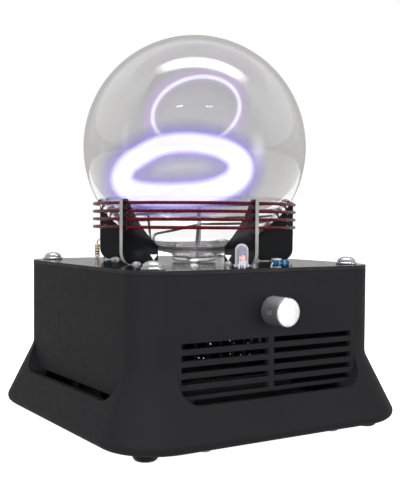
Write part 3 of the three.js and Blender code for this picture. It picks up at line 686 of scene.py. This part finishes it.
def case_shape():
    rim = arc(BASE_HALF - RIM_RADIUS, SKIRT_BOTTOM + RIM_RADIUS, RIM_RADIUS, -90, 20, 10)
    for i in range(7):
        t = i / 6
        half = CASE_HALF + FLARE * BEND_REACH * (1 - t) ** 2
        rim.append((half, BEND - BEND_REACH + 2 * BEND_REACH * t))
    rim.append((CASE_HALF, CASE_TOP))
    outside = loft([(half, corner_at(half), z) for half, z in rim])
    mouth = COVER_HALF + 0.3
    throat = CASE_HALF - WALL
    inner_bend = SKIRT_BOTTOM + (BASE_HALF - SKIN - mouth) / FLARE + RIM_RADIUS
    levels = [(mouth, SKIRT_BOTTOM - 1), (mouth, inner_bend), (throat, BEND)]
    levels.append((throat, SKIRT_BOTTOM + CASE_HEIGHT + 1))
    inside = loft([(half, corner_at(half) - WALL / 2, z) for half, z in levels])
    cavity = carved(inside, on_four_sides(scoop_bar(WALL - 0.2, throat)))
    intake_z = SCOOP_BOTTOM + INTAKE_HEIGHT / 2 - 1.5
    intake = block(2 * INTAKE_HALF, 5.7, INTAKE_HEIGHT + 3, 0, -CASE_HALF, intake_z)
    holes = vents()
    holes.append(moved(post(BUSH_HOLE, 0, 5), at(0, -CASE_HALF + 4, KNOB_Z) @ ALONG_Y))
    holes.append(moved(post(JACK_HOLE, 0, 5), at(JACK[0], CASE_HALF + 1, JACK[1]) @ ALONG_Y))
    scoops = on_four_sides(scoop_bar(0, CASE_HALF))
    shell = carved(outside, [*scoops, cavity, *on_four_sides(intake), *holes])
    places = [(x, y) for x in (-SCREW_AT, SCREW_AT) for y in (-SCREW_AT, SCREW_AT)]
    bosses = [post(BOSS_RADIUS, CASE_TOP - BOSS_HEIGHT, CASE_TOP, x, y) for x, y in places]
    return carved(shell, bosses, "UNION")


case = piece("case", case_shape(), [case_plastic], 32)
put(soften(case, 0.22, 2, 38), "base", "case_plastic", "case_shell")

# ---- board ----
fin_bearings = [FIN_TURN + 360 / FIN_COUNT * i for i in range(FIN_COUNT)]
SLOT_HALF = 1.1
SLOT_SPARE = 0.3
SCREW_HOLE = 2.3
WIRE_HOLE = 0.95
LEAD_HOLE = 0.65


def board_holes():
    holes = [circle(x, y, SCREW_HOLE) for x in (-SCREW_AT, SCREW_AT) for y in (-SCREW_AT, SCREW_AT)]
    for bearing in fin_bearings:
        for near, far in FIN_TABS:
            near, far = near - SLOT_SPARE, far + SLOT_SPARE
            corners = ((near, -SLOT_HALF), (far, -SLOT_HALF), (far, SLOT_HALF), (near, SLOT_HALF))
            turned = [turn(bearing - 90) @ Vector((*corner, 0)) for corner in corners]
            holes.append([tuple(corner[:2]) for corner in turned])
    for bearing, radius in (LOW_LEAD, HIGH_LEAD):
        spot = around(bearing, radius, 0)
        holes.append(circle(spot.x, spot.y, WIRE_HOLE))
    leads = [(RESISTOR[0] + side * RESISTOR_REACH, RESISTOR[1]) for side in (-1, 1)]
    leads += [(UPRIGHT[0] + step, UPRIGHT[1]) for step in (0, UPRIGHT_SPAN)]
    return holes + [circle(x, y, LEAD_HOLE, 12) for x, y in leads]


board_outline = rounded_square(CASE_HALF, CASE_CORNER)
board_shape = pierced_plate(board_outline, board_holes(), BOARD_BOTTOM, BOARD_TOP)
board = piece("board", board_shape, [solder_mask, dark_edge])
put(soften(board, 0.12, 2), "base", "circuit_board", "top_board")


# ---- fins ----
CRADLE_RADIUS = GLOBE_RADIUS + 0.3
TAB_DEPTH = 3.2
FIN_CORNER = 5
MARK = [(24.6, BOARD_TOP + 3.8), (26.9, BOARD_TOP + 1.4), (29.2, BOARD_TOP + 3.8)]
UPRIGHT_PLATE = at(0, BOARD_THICK / 2, 0) @ turn(90, "X")  # x stays, y becomes z, thickness goes to -Y


def fin_outline():
    top_angle = math.degrees(math.asin((GLOBE_CENTRE - FIN_TOP) / CRADLE_RADIUS))
    inner_angle = math.degrees(math.acos(FIN_INNER / CRADLE_RADIUS))
    points = [(FIN_INNER, FIN_FOOT)]
    tab_end = FIN_FOOT - TAB_DEPTH
    for near, far in FIN_TABS:
        points += [(near, FIN_FOOT), (near, tab_end), (far, tab_end), (far, FIN_FOOT)]
    points += arc(FIN_OUTER - FIN_CORNER, FIN_FOOT + FIN_CORNER, FIN_CORNER, -90, 0, 12)
    points.append((FIN_OUTER, FIN_TOP))
    points += arc(0, GLOBE_CENTRE, CRADLE_RADIUS, -top_angle, -inner_angle, 24)
    return points


coil_levels = [COIL_BOTTOM + i * COIL_PITCH for i in range(COIL_TURNS)]
coil_holes = [circle(COIL_RADIUS, level, WIRE_RADIUS + 0.2, 24) for level in coil_levels]
marks = []
joints = []
for number, bearing in enumerate(fin_bearings, 1):
    outwards = turn(bearing - 90)
    plate = pierced_plate(fin_outline(), coil_holes, 0, BOARD_THICK, outwards @ UPRIGHT_PLATE)
    fin = piece(f"fin_{number}", plate, [solder_mask, board_edge])
    put(soften(fin, 0.09, 2), "base", "circuit_board", f"cradle_fin_{number}")
    for side in (-1, 1):
        face = BOARD_THICK / 2 + side * BOARD_THICK / 2
        low, high = sorted((face - side * 0.02, face + side * 0.04))
        marks.append(moved(prism(MARK, low, high), outwards @ UPRIGHT_PLATE))
        for near, far in FIN_TABS:
            spot = outwards @ at((near + far) / 2, side * 0.75, BOARD_TOP - 0.1)
            joints.append(moved(ball(75, 8), spot @ Matrix.Diagonal((2.7, 1.7, 1.5, 1))))
put(piece("fin_marks", merged(marks), [white_ink_painted_glow]), "base", "circuit_board")
put(piece("solder_joints", merged(joints), [solder], 60), "base", "steel_hardware")

# ---- corner screws and washers ----
WASHER_FOOT = BOARD_TOP + 0.1
HEAD_FOOT = BOARD_TOP + 1.0
WASHER = [(2.3, 0), (4.25, 0), (4.4, 0.15), (4.4, 0.6), (4.2, 0.8), (2.3, 0.8)]
BUTTON_SCREW = [(0, -16), (1.95, -16), (1.95, 0), (3.6, 0), (3.8, 0.2), (3.75, 0.6), (3.45, 1.1)]
BUTTON_SCREW += [(3.0, 1.5), (2.45, 1.85), (1.9, 2.05), (1.2, 2.18), (0, 2.2)]
for number, (x, y) in enumerate(four_corners(SCREW_AT), 1):
    ring = moved(lathe(raised(WASHER, WASHER_FOOT)), at(x, y, 0))
    washer = piece(f"washer_{number}", ring, [steel])
    put(washer, "base", "steel_hardware", f"corner_washer_{number}")
    socket = moved(post(1.45, HEAD_FOOT + 0.9, HEAD_FOOT + 3, sides=6), at(x, y, 0))
    head = carved(moved(lathe(raised(BUTTON_SCREW, HEAD_FOOT)), at(x, y, 0)), [socket])
    screw = piece(f"button_screw_{number}", head, [steel], 30)
    put(soften(screw, 0.06, 2), "base", "steel_hardware", f"corner_screw_{number}")

# ---- feet ----
FOOT = [(0, 0), (2.9, 0), (3.5, 0.12), (4.0, 0.42), (4.4, 0.95), (4.65, 1.6), (4.78, 2.4)]
FOOT += [(4.8, 3.1), (0, 3.1)]
for number, (x, y) in enumerate(four_corners(FOOT_AT), 1):
    foot = piece(f"foot_{number}", moved(lathe(FOOT), at(x, y, 0)), [rubber])
    put(foot, "base", "rubber", f"rubber_foot_{number}")


# ---- globe ----
def underside(skin):
    """The flattened part of a skin's profile, from the neck's shoulder out to the sphere."""
    points = []
    for radius in (11.6, 12.5, 14, 16, 18, 20, 22):
        t = (radius - 10) / (FLAT_FROM - 10)
        lift = FLAT_DEPTH * (1 - t * t * (3 - 2 * t))
        points.append((radius, lift - math.sqrt(skin * skin - radius * radius)))
    return points


def skin_shape(neck, foot, skin):
    """One skin of the globe: the neck's foot, the flattened underside and the sphere."""
    start = -math.degrees(math.acos(FLAT_FROM / skin))
    sphere = arc(0, 0, skin, start, 90, 48)
    return lathe([*raised(neck, foot), *underside(skin), *sphere], 112)


def globe_shape():
    """Outer and inner skins of the blown shell, with the melted-off neck underneath."""
    rim = NECK_RADIUS
    outer_neck = [(0, 0.5), (0.8, 0.35), (2.2, 0.3), (4.5, 0.45), (6.5, 0.2), (rim - 1.2, 0)]
    outer_neck += [(rim - 0.5, 0.12), (rim - 0.1, 0.5), (rim, 1.1), (rim - 0.15, 1.8), (rim, 2.4)]
    outer_neck += [(rim + 0.4, 2.9), (rim + 1.1, 3.25)]
    inner_neck = [(0, 1.1), (1.2, 0.7), (3, 0.25), (rim - 3, 0), (rim - 1.9, 0.3), (rim - 1.5, 1)]
    inner_neck += [(rim - 1.5, 1.9), (rim - 0.9, 2.7), (rim + 0.3, 3.3)]
    outer = skin_shape(outer_neck, NECK_FOOT, GLOBE_RADIUS)
    verts, faces = skin_shape(inner_neck, NECK_FOOT + GLOBE_WALL, GLOBE_RADIUS - GLOBE_WALL)
    inner = (verts, [face[::-1] for face in faces])
    return moved(merged([outer, inner]), at(0, 0, GLOBE_CENTRE))


put(open_shell("globe", globe_shape(), globe_glass), "globe", "globe_glass", "glass_globe")

# ---- camera ----
CAMERA_AT = Vector((-196.83, -316.35, 84.73))
CAMERA_AZIMUTH = 31.8895
CAMERA_YAW = 0.3926
CAMERA_PITCH = 1.9888
CAMERA_ROLL = 0.3622
LENS = 62.06

heading = math.radians(CAMERA_AZIMUTH + CAMERA_YAW)
right = Vector((math.cos(heading), -math.sin(heading), 0))
level_forward = Vector((math.sin(heading), math.cos(heading), 0))
dip = math.radians(CAMERA_PITCH)
forward = math.cos(dip) * level_forward - math.sin(dip) * UP
upright = math.cos(dip) * UP + math.sin(dip) * level_forward
roll = math.radians(CAMERA_ROLL)
cam_right = math.cos(roll) * right + math.sin(roll) * upright
cam_up = math.cos(roll) * upright - math.sin(roll) * right
camera = bpy.data.objects.new("camera", bpy.data.cameras.new("camera"))
camera.data.lens = LENS
camera.data.sensor_width = 36
aim = Matrix((cam_right, cam_up, -forward)).transposed().to_4x4()
camera.matrix_world = Matrix.Translation(CAMERA_AT * MM) @ aim
scene.collection.objects.link(camera)
scene.camera = camera

# ---- discharge ----
RING_RADIUS = 25.9
RING_TILT = 28.6  # the side by the viewer hangs lower
RING_CENTRE = Vector((0, 0, GLOBE_CENTRE - 7.7)) - 4.6 * right
RING_HALF = 3.4  # thickness of the white core
RING_STEPS = 120
BULGES = ((5.0, 226, 26), (-3.6, 148, 32), (-1.4, 0, 40))  # how far, at which angle, how wide
LOOP_LONG = 20.4
LOOP_SHORT = 15.4
LOOP_LEAN = 18
LOOP_BACK = 22.5  # it rises from the far side of the main discharge
LOOP_CENTRE = Vector((0, 0, GLOBE_CENTRE + 18.9)) + 0.4 * right + LOOP_BACK * level_forward
LOOP_HALF = 0.75
LOOP_STEPS = 96
BLOOM_INNER = (2.5, 2.4, 2.7)
BLOOM_OUTER = (0.95, 0.85, 1.6)
VIOLET_INNER = (0.42, 0.35, 1.05)
VIOLET_OUTER = (0.27, 0.25, 0.66)
VEIL = (0.8, 0.56, 1.0)
BLOOM_LAYERS = 6
GLOW_LAYERS = 8
LOOP_LAYERS = (
    (1.15, 0.3, (1.0, 0.96, 1.05)),
    (1.5, 0.15, (0.88, 0.8, 1.05)),
    (2.4, 0.07, (0.7, 0.6, 0.98)),
    (3.6, 0.045, (0.62, 0.5, 0.9)),
)


def lobe(angle, centre, width):
    away = (angle - centre + 180) % 360 - 180
    return math.exp(-((away / width) ** 2))


def ring_line():
    """The main discharge: nearly a circle, pushed out near left and pulled in far left."""
    tilt = math.radians(RING_TILT)
    deep = math.cos(tilt) * level_forward + math.sin(tilt) * UP
    points = []
    for i in range(RING_STEPS):
        angle = 360 * i / RING_STEPS
        radius = RING_RADIUS
        for size, centre, width in BULGES:
            radius += size * lobe(angle, centre, width)
        turned = math.radians(angle)
        points.append(RING_CENTRE + radius * (math.cos(turned) * right + math.sin(turned) * deep))
    return points


def loop_line(grow=0.0):
    """The thin upper loop, upright and leaning."""
    lean = math.radians(LOOP_LEAN)
    long_way = math.cos(lean) * right + math.sin(lean) * UP
    short_way = math.cos(lean) * UP - math.sin(lean) * right
    points = []
    for i in range(LOOP_STEPS):
        angle = 2 * math.pi * i / LOOP_STEPS
        along = (LOOP_LONG + grow) * math.cos(angle) * long_way
        across = (LOOP_SHORT + grow) * math.sin(angle) * short_way
        points.append(LOOP_CENTRE + along + across)
    return points


def blend(first, second, share):
    share = min(1, share)
    return tuple(a + (b - a) * share for a, b in zip(first, second))


def bundle(angle):
    """Thickness of the main discharge's core at an angle round it: fuller on the right."""
    return RING_HALF + 0.9 * lobe(angle, 352, 48)


def gas_shell(name, line, radii, sides, material):
    put(open_shell(name, tube(line, radii, sides, True), material), "globe", "globe_glass")


ring = ring_line()
thickness = [bundle(360 * i / RING_STEPS) for i in range(RING_STEPS)]
gas_shell("discharge_core", ring, thickness, 24, lit("discharge_core", (1.0, 0.98, 1.0), 4.0))
gas_shell("discharge_loop", loop_line(), LOOP_HALF, 12, lit("discharge_loop", (0.98, 0.95, 1.0), 1.3))
for layer in range(BLOOM_LAYERS + GLOW_LAYERS):
    if layer < BLOOM_LAYERS:
        share = layer / (BLOOM_LAYERS - 1)
        grow, cover = 0.25 + 1.6 * share, 0.34 - 0.17 * share
        colour = blend(BLOOM_INNER, BLOOM_OUTER, share)
    else:
        share = (layer - BLOOM_LAYERS) / (GLOW_LAYERS - 1)
        grow, cover = 2.3 + 5.4 * share, 0.115 - 0.085 * share
        colour = blend(VIOLET_INNER, VIOLET_OUTER, share * 1.6)
    name = f"discharge_haze_{layer + 1}"
    gas_shell(name, ring, [size + grow for size in thickness], 24, haze(name, colour, cover))
for number, (radius, cover, colour) in enumerate(LOOP_LAYERS, 1):
    name = f"loop_haze_{number}"
    gas_shell(name, loop_line(), radius, 16, haze(name, colour, cover))
for number, radius in enumerate((0.9, 1.5, 2.2), 1):
    name = f"loop_veil_{number}"
    gas_shell(name, loop_line(2.6), radius, 16, haze(name, VEIL, 0.07))


# ---- coil ----
WIRE_SIDES = 12
STRAND_LAY = 1.5 * math.pi  # a wave texture repeats every 2 pi / 20 units at scale 1
def coil_line():
    """The whole wire: low lead, level turns with a climb between the two back fins, high lead."""
    sweep = 360 - CLIMB
    bearing, radius = LOW_LEAD
    low_end = BOARD_BOTTOM - 2
    low = [
        around(bearing, radius, low_end),
        around(bearing, radius, BOARD_TOP + 2),
        around(bearing, radius, COIL_BOTTOM - 9.5),
        around(bearing - 2, radius, COIL_BOTTOM - 6.3),
        around(bearing - 7, radius, COIL_BOTTOM - 5),
        around(bearing - 17, radius, COIL_BOTTOM - 3.2),
        around(BACK_FIN + 4, radius, COIL_BOTTOM - 0.9),
        around(BACK_FIN, COIL_RADIUS, COIL_BOTTOM),
    ]
    points = smooth_line(low)[:-1]
    for i in range(COIL_TURNS):
        level = COIL_BOTTOM + i * COIL_PITCH
        points += [around(BACK_FIN - along, COIL_RADIUS, level) for along in range(0, sweep, 3)]
        if i + 1 < COIL_TURNS:
            for along in range(0, CLIMB, 3):
                t = along / CLIMB
                rise = COIL_PITCH * t * t * (3 - 2 * t)
                points.append(around(BACK_FIN - sweep - along, COIL_RADIUS, level + rise))
    bearing, radius = HIGH_LEAD
    high = [
        around(BACK_FIN - sweep + 360, COIL_RADIUS, COIL_TOP),
        around(bearing + 20, COIL_RADIUS + 1.2, COIL_TOP),
        around(bearing + 7, radius, COIL_TOP - 0.6),
        around(bearing + 1, radius, COIL_TOP - 4),
        around(bearing, radius, COIL_TOP - 10),
        around(bearing, radius, BOARD_TOP + 2),
        around(bearing, radius, low_end),
    ]
    return points + smooth_line(high)


def with_length_uv(made, line):
    """UV along the wire: u counts twists of the strands by length, v goes round it."""
    lengths = [0.0]
    for a, b in zip(line, line[1:]):
        lengths.append(lengths[-1] + (Vector(b) - Vector(a)).length)
    half = WIRE_SIDES / 2
    layer = made.data.uv_layers.new(name="length")
    for face in made.data.polygons:
        spots = [(made.data.loops[i].vertex_index, i) for i in face.loop_indices]
        rounds = [spot % WIRE_SIDES for spot, _ in spots]
        wraps = max(rounds) - min(rounds) > half
        for (spot, loop), k in zip(spots, rounds):
            if wraps and k < half:
                k += WIRE_SIDES
            length = lengths[min(spot // WIRE_SIDES, len(lengths) - 1)]
            layer.data[loop].uv = (length / STRAND_LAY, k / WIRE_SIDES)


wire_line = coil_line()
coil = open_shell("coil", tube(wire_line, WIRE_RADIUS, WIRE_SIDES), coil_red)
with_length_uv(coil, wire_line)
put(coil, "base", "coil_wire", "coil_wire", "coil_lead_1", "coil_lead_2")


# ---- small parts on the board ----
LENS_FLANGE = 2.9
LENS_RADIUS = 2.5
LENS_STRAIGHT = 6.2


def led():
    x, y = LED
    low = BOARD_TOP + 0.5
    lens = [(0, low), (LENS_FLANGE, low), (LENS_FLANGE, low + 1), (LENS_RADIUS, low + 1.05)]
    lens += arc(0, low + LENS_STRAIGHT, LENS_RADIUS, 0, 90, 12)
    resin = piece("led_lens", moved(lathe(lens), at(x, y, 0)), [led_resin])
    put(resin, "base", "led_resin", "indicator_led")
    well = piece("led_well", block(2.6, 2.4, 4.9, x, y, low + 4.0), [led_well])
    put(soften(well, 0.3, 3), "base", "led_resin")
    legs = merged([block(0.6, 0.5, 2.2, x + step, y, BOARD_TOP + 0.4) for step in (-1.27, 1.27)])
    put(piece("led_legs", legs, [led_legs]), "base", "led_resin")
    front = y - 0.75
    glow = moved(ball(70, 6), at(x - 0.1, front, low + 3.4) @ Matrix.Diagonal((1.45, 0.6, 1.6, 1)))
    put(piece("led_glow", glow, [lit("led_glow", (1.0, 0.36, 0.31), 1.5)]), "base", "led_resin")
    # the reflector cup is made to glow whitish: painted light, as the cup is no lamp
    cup = moved(ball(70, 6), at(x, front, low + 1.8) @ Matrix.Diagonal((1.7, 0.7, 1.1, 1)))
    put(piece("led_reflector_painted_glow", cup, [lit("led_reflector_painted_glow", (0.9, 0.88, 0.95), 0.75)]), "base", "led_resin")


def lead_wire(name, points):
    wire = tube(smooth_line(points), LEAD_RADIUS, 10)
    put(piece(name, wire, [solder], 60), "base", "steel_hardware")


def lying_resistor():
    x, y = RESISTOR
    height = BOARD_TOP + 1.55
    half = 3.5
    profile = [(0, 0), (0.8, 0), (1.15, 0.12), (1.36, 0.45), (1.4, 0.9), (1.34, 1.5), (1.22, 2)]
    profile = raised(profile, -half)
    profile += [(radius, -offset) for radius, offset in reversed(profile)]
    body = moved(lathe(profile, 32), at(x, y, height) @ turn(90, "Y"))
    put(piece("lying_resistor", body, [blue_enamel]), "base", "blue_enamel", "film_resistor")
    half_line = [(half - 0.4, height), (RESISTOR_REACH - 0.6, height - 0.15)]
    half_line += [(RESISTOR_REACH, height - 1.2), (RESISTOR_REACH, BOARD_BOTTOM - 1)]
    line = [(-along, z) for along, z in reversed(half_line)] + half_line
    lead_wire("lying_resistor_wire", [(x + along, y, z) for along, z in line])


def standing_resistor():
    x, y = UPRIGHT
    low = BOARD_TOP + 0.5
    top = low + 6.2
    bottom = BOARD_BOTTOM - 1
    profile = [(0, 0), (0.8, 0), (1.15, 0.25), (1.25, 0.8), (1.12, 1.6)]
    profile += [(1.12, 4.6), (1.25, 5.4), (1.15, 5.95), (0.8, 6.2), (0, 6.2)]
    body = moved(lathe(raised(profile, low), 32), at(x, y, 0))
    enamel = banded_enamel("beige_enamel_banded", BEIGE, BEIGE_BANDS, low + 3.1, "Z")
    put(piece("upright_resistor", body, [enamel]), "base", "beige_enamel", "standing_resistor")
    line = [(0, bottom), (0, top - 1), (0.2, top + 1.1), (1.8, top + 2.1), (3.4, top + 1)]
    line += [(UPRIGHT_SPAN, top - 1.5), (UPRIGHT_SPAN, bottom)]
    lead_wire("upright_resistor_wire", [(x + along, y, z) for along, z in line])


def header():
    x, y = HEADER
    low = BOARD_TOP + 0.1
    shell = carved(block(3.4, 2.3, 2.6, x, y, low + 1.3), [block(2.6, 1.5, 2.6, x, y, low + 2.2)])
    put(soften(piece("header", shell, [white_plastic]), 0.12, 2), "base", "white_plastic", "white_header")
    pins = merged([block(0.4, 0.4, 2.4, x + step, y, low + 1.3) for step in (-0.7, 0.7)])
    put(soften(piece("header_pins", pins, [steel]), 0.06, 1), "base", "steel_hardware")


led()
lying_resistor()
standing_resistor()
header()


# ---- knob and inlet ----
def knob():
    """A cup: hollow at the back for the bush and the shaft, tapped on the left for its screw."""
    depth = KNOB_BACK - KNOB_FACE
    bore = depth - 2.2
    side = [(2.3, bore), (2.3, 2.7), (4.85, 2.7), (4.85, 0), (KNOB_RADIUS - 0.35, 0), (KNOB_RADIUS, 0.3)]
    side += arc(KNOB_RADIUS - 0.45, depth - 0.45, 0.45, 0, 90, 5)
    cup = lathe([(0, bore), *side, (0, depth)], 96)
    tapped = moved(post(1.55, 0, 6), at(-KNOB_RADIUS - 1, KNOB_BACK - 5.6, KNOB_Z) @ turn(90, "Y"))
    shape = carved(moved(cup, at(0, KNOB_BACK, KNOB_Z) @ ALONG_Y), [tapped])
    made = piece("knob", shape, [knob_side, knob_face], 32)
    for face in made.data.polygons:
        in_front = face.normal.y < -0.7 and face.center.y < (KNOB_FACE + 1) * MM
        face.material_index = 1 if in_front else 0
    put(made, "knob", "knob_aluminium", "control_knob")


def inlet():
    """A barrel socket with its centre pin, flanged outside the back wall."""
    x, z = JACK
    profile = [(0, 0), (5.5, 0), (5.5, 13.2), (7, 13.2), (7, 14.6), (6.6, 15), (3.5, 15), (3.2, 14.7)]
    profile += [(3.2, 5), (1, 5), (1, 13.2), (0.7, 13.5), (0, 13.5)]
    shape = moved(lathe(profile, 64), at(x, CASE_HALF - 13, z) @ turn(-90, "X"))
    put(piece("inlet", shape, [black_plastic], 32), "base", "black_plastic", "power_inlet")


knob()
inlet()

# ---- finishes of the CAD nodes that stay ----
FINISHES = {
    "case_plastic": case_plastic,
    "circuit_board": solder_mask,
    "steel_hardware": steel,
    "knob_aluminium": knob_side,
    "rubber": rubber,
    "black_plastic": black_plastic,
    "beige_enamel": beige_enamel,
    "blue_enamel": blue_enamel,
    "white_plastic": white_plastic,
    "heat_sink_aluminium": anodised(),
    "standoff_brass": brass,
    "thermal_pad": thermal_pad,
    "copper_winding": copper,
    "film_capacitor": film_yellow,
    "globe_glass": globe_glass,
    "coil_wire": coil_red,
    "led_resin": led_resin,
}
for part in frame["record"]["subparts"]:
    for slot in frame["nodes"][part["node"]].material_slots:
        slot.material = FINISHES[part["material_slot"]]


# ---- stage ----
GLOBE_MIDDLE = Vector((0, 0, GLOBE_CENTRE))
TOWARDS = -level_forward


def floor():
    """White all over, and left out of reflections, so the black case keeps its own tone."""
    edge = 3000
    corners = [(-edge, -edge, 0), (edge, -edge, 0), (edge, edge, 0), (-edge, edge, 0)]
    made = bare("floor", (corners, [[0, 1, 2, 3]]))
    pale = (0.86, 0.86, 0.86)
    material = principled("floor", pale, 0.9, Specular_IOR_Level=0.1, Emission_Strength=0.95)
    made.data.materials.append(material)
    made.visible_diffuse = False
    made.visible_glossy = False


def softbox(name, seat, width, height, radiance, long_way=None, edge=0.35, mirrored=True):
    """A rectangular lamp that faces the globe and fades over its outer edge, in millimetres.

    Its seat is measured from the globe's centre: to the viewer's right, towards the viewer and up.
    """
    lamp = bpy.data.lights.new(name, "AREA")
    lamp.shape = "RECTANGLE"
    lamp.size, lamp.size_y = width * MM, height * MM
    lamp.energy = radiance * math.pi * lamp.size * lamp.size_y
    lamp.use_nodes = True
    where = node(lamp, "ShaderNodeNewGeometry").outputs["Parametric"]
    split = node(lamp, "ShaderNodeSeparateXYZ", Vector=where)
    fades = []
    for axis in ("X", "Y"):
        inwards = maths(lamp, "PINGPONG", split.outputs[axis], 0.5)
        fade = node(lamp, "ShaderNodeMapRange", Value=inwards, From_Max=edge)
        fade.interpolation_type = "SMOOTHSTEP"
        fades.append(fade.outputs["Result"])
    join(lamp, maths(lamp, "MULTIPLY", *fades), lamp.node_tree.nodes["Emission"].inputs["Strength"])
    made = bpy.data.objects.new(name, lamp)
    spot = GLOBE_MIDDLE + seat[0] * right + seat[1] * TOWARDS + seat[2] * UP
    away = (spot - GLOBE_MIDDLE).normalized()
    across = UP.cross(away) if long_way is None else long_way
    across = (across - away * across.dot(away)).normalized()
    turned = Matrix((across, away.cross(across), away)).transposed().to_4x4()
    made.matrix_world = Matrix.Translation(spot * MM) @ turned
    made.visible_glossy = mirrored
    made.visible_transmission = mirrored
    scene.collection.objects.link(made)


def lamps():
    softbox("top_strip", (55, 30, 600), 860, 190, 11, right, 0.3)
    softbox("right_front", (900, 420, -90), 420, 760, 3.2, edge=0.5)
    softbox("left_side", (-950, 300, 150), 240, 800, 0.9, edge=0.5)
    softbox("key_left", (-600, 800, 60), 700, 700, 9.5, mirrored=False)
    softbox("key_right", (700, 700, 60), 600, 600, 8, mirrored=False)
    softbox("key_front", (0, 1000, 20), 600, 600, 13, mirrored=False)
    for side in (-1, 1):
        for step in (-1, 0, 1):
            seat = (215 * side + 38 * step, 720, 545 + 8 * step * side)
            softbox(f"spot_{2 * side + 5 + step}", seat, 28, 18, 24, right, 0.2)


def sky():
    """Pale studio: white where the camera looks past the object, grey walls for all other light."""
    world = bpy.data.worlds.new("studio")
    scene.world = world
    world.use_nodes = True
    world.node_tree.nodes.clear()
    facing = node(world, "ShaderNodeVectorMath")
    facing.operation = "DOT_PRODUCT"
    join(world, node(world, "ShaderNodeTexCoord").outputs["Generated"], facing.inputs[0])
    join(world, level_forward, facing.inputs[1])
    shade = spread(world, facing.outputs["Value"], 0.22, 0.57, -0.5, 0.7)
    walls = node(world, "ShaderNodeBackground", Color=(1, 0.99, 0.985, 1), Strength=shade)
    white = node(world, "ShaderNodeBackground", Color=(1, 1, 1, 1), Strength=1.0)
    seen = node(world, "ShaderNodeLightPath").outputs["Is Camera Ray"]
    mix = node(world, "ShaderNodeMixShader", Fac=seen)
    join(world, walls.outputs[0], mix.inputs[1])
    join(world, white.outputs[0], mix.inputs[2])
    node(world, "ShaderNodeOutputWorld", Surface=mix.outputs[0])


floor()
lamps()
sky()
scene.view_settings.view_transform = "Standard"
scene.view_settings.look = "None"
scene.cycles.max_bounces = 20
scene.cycles.transmission_bounces = 16
scene.cycles.transparent_max_bounces = 80
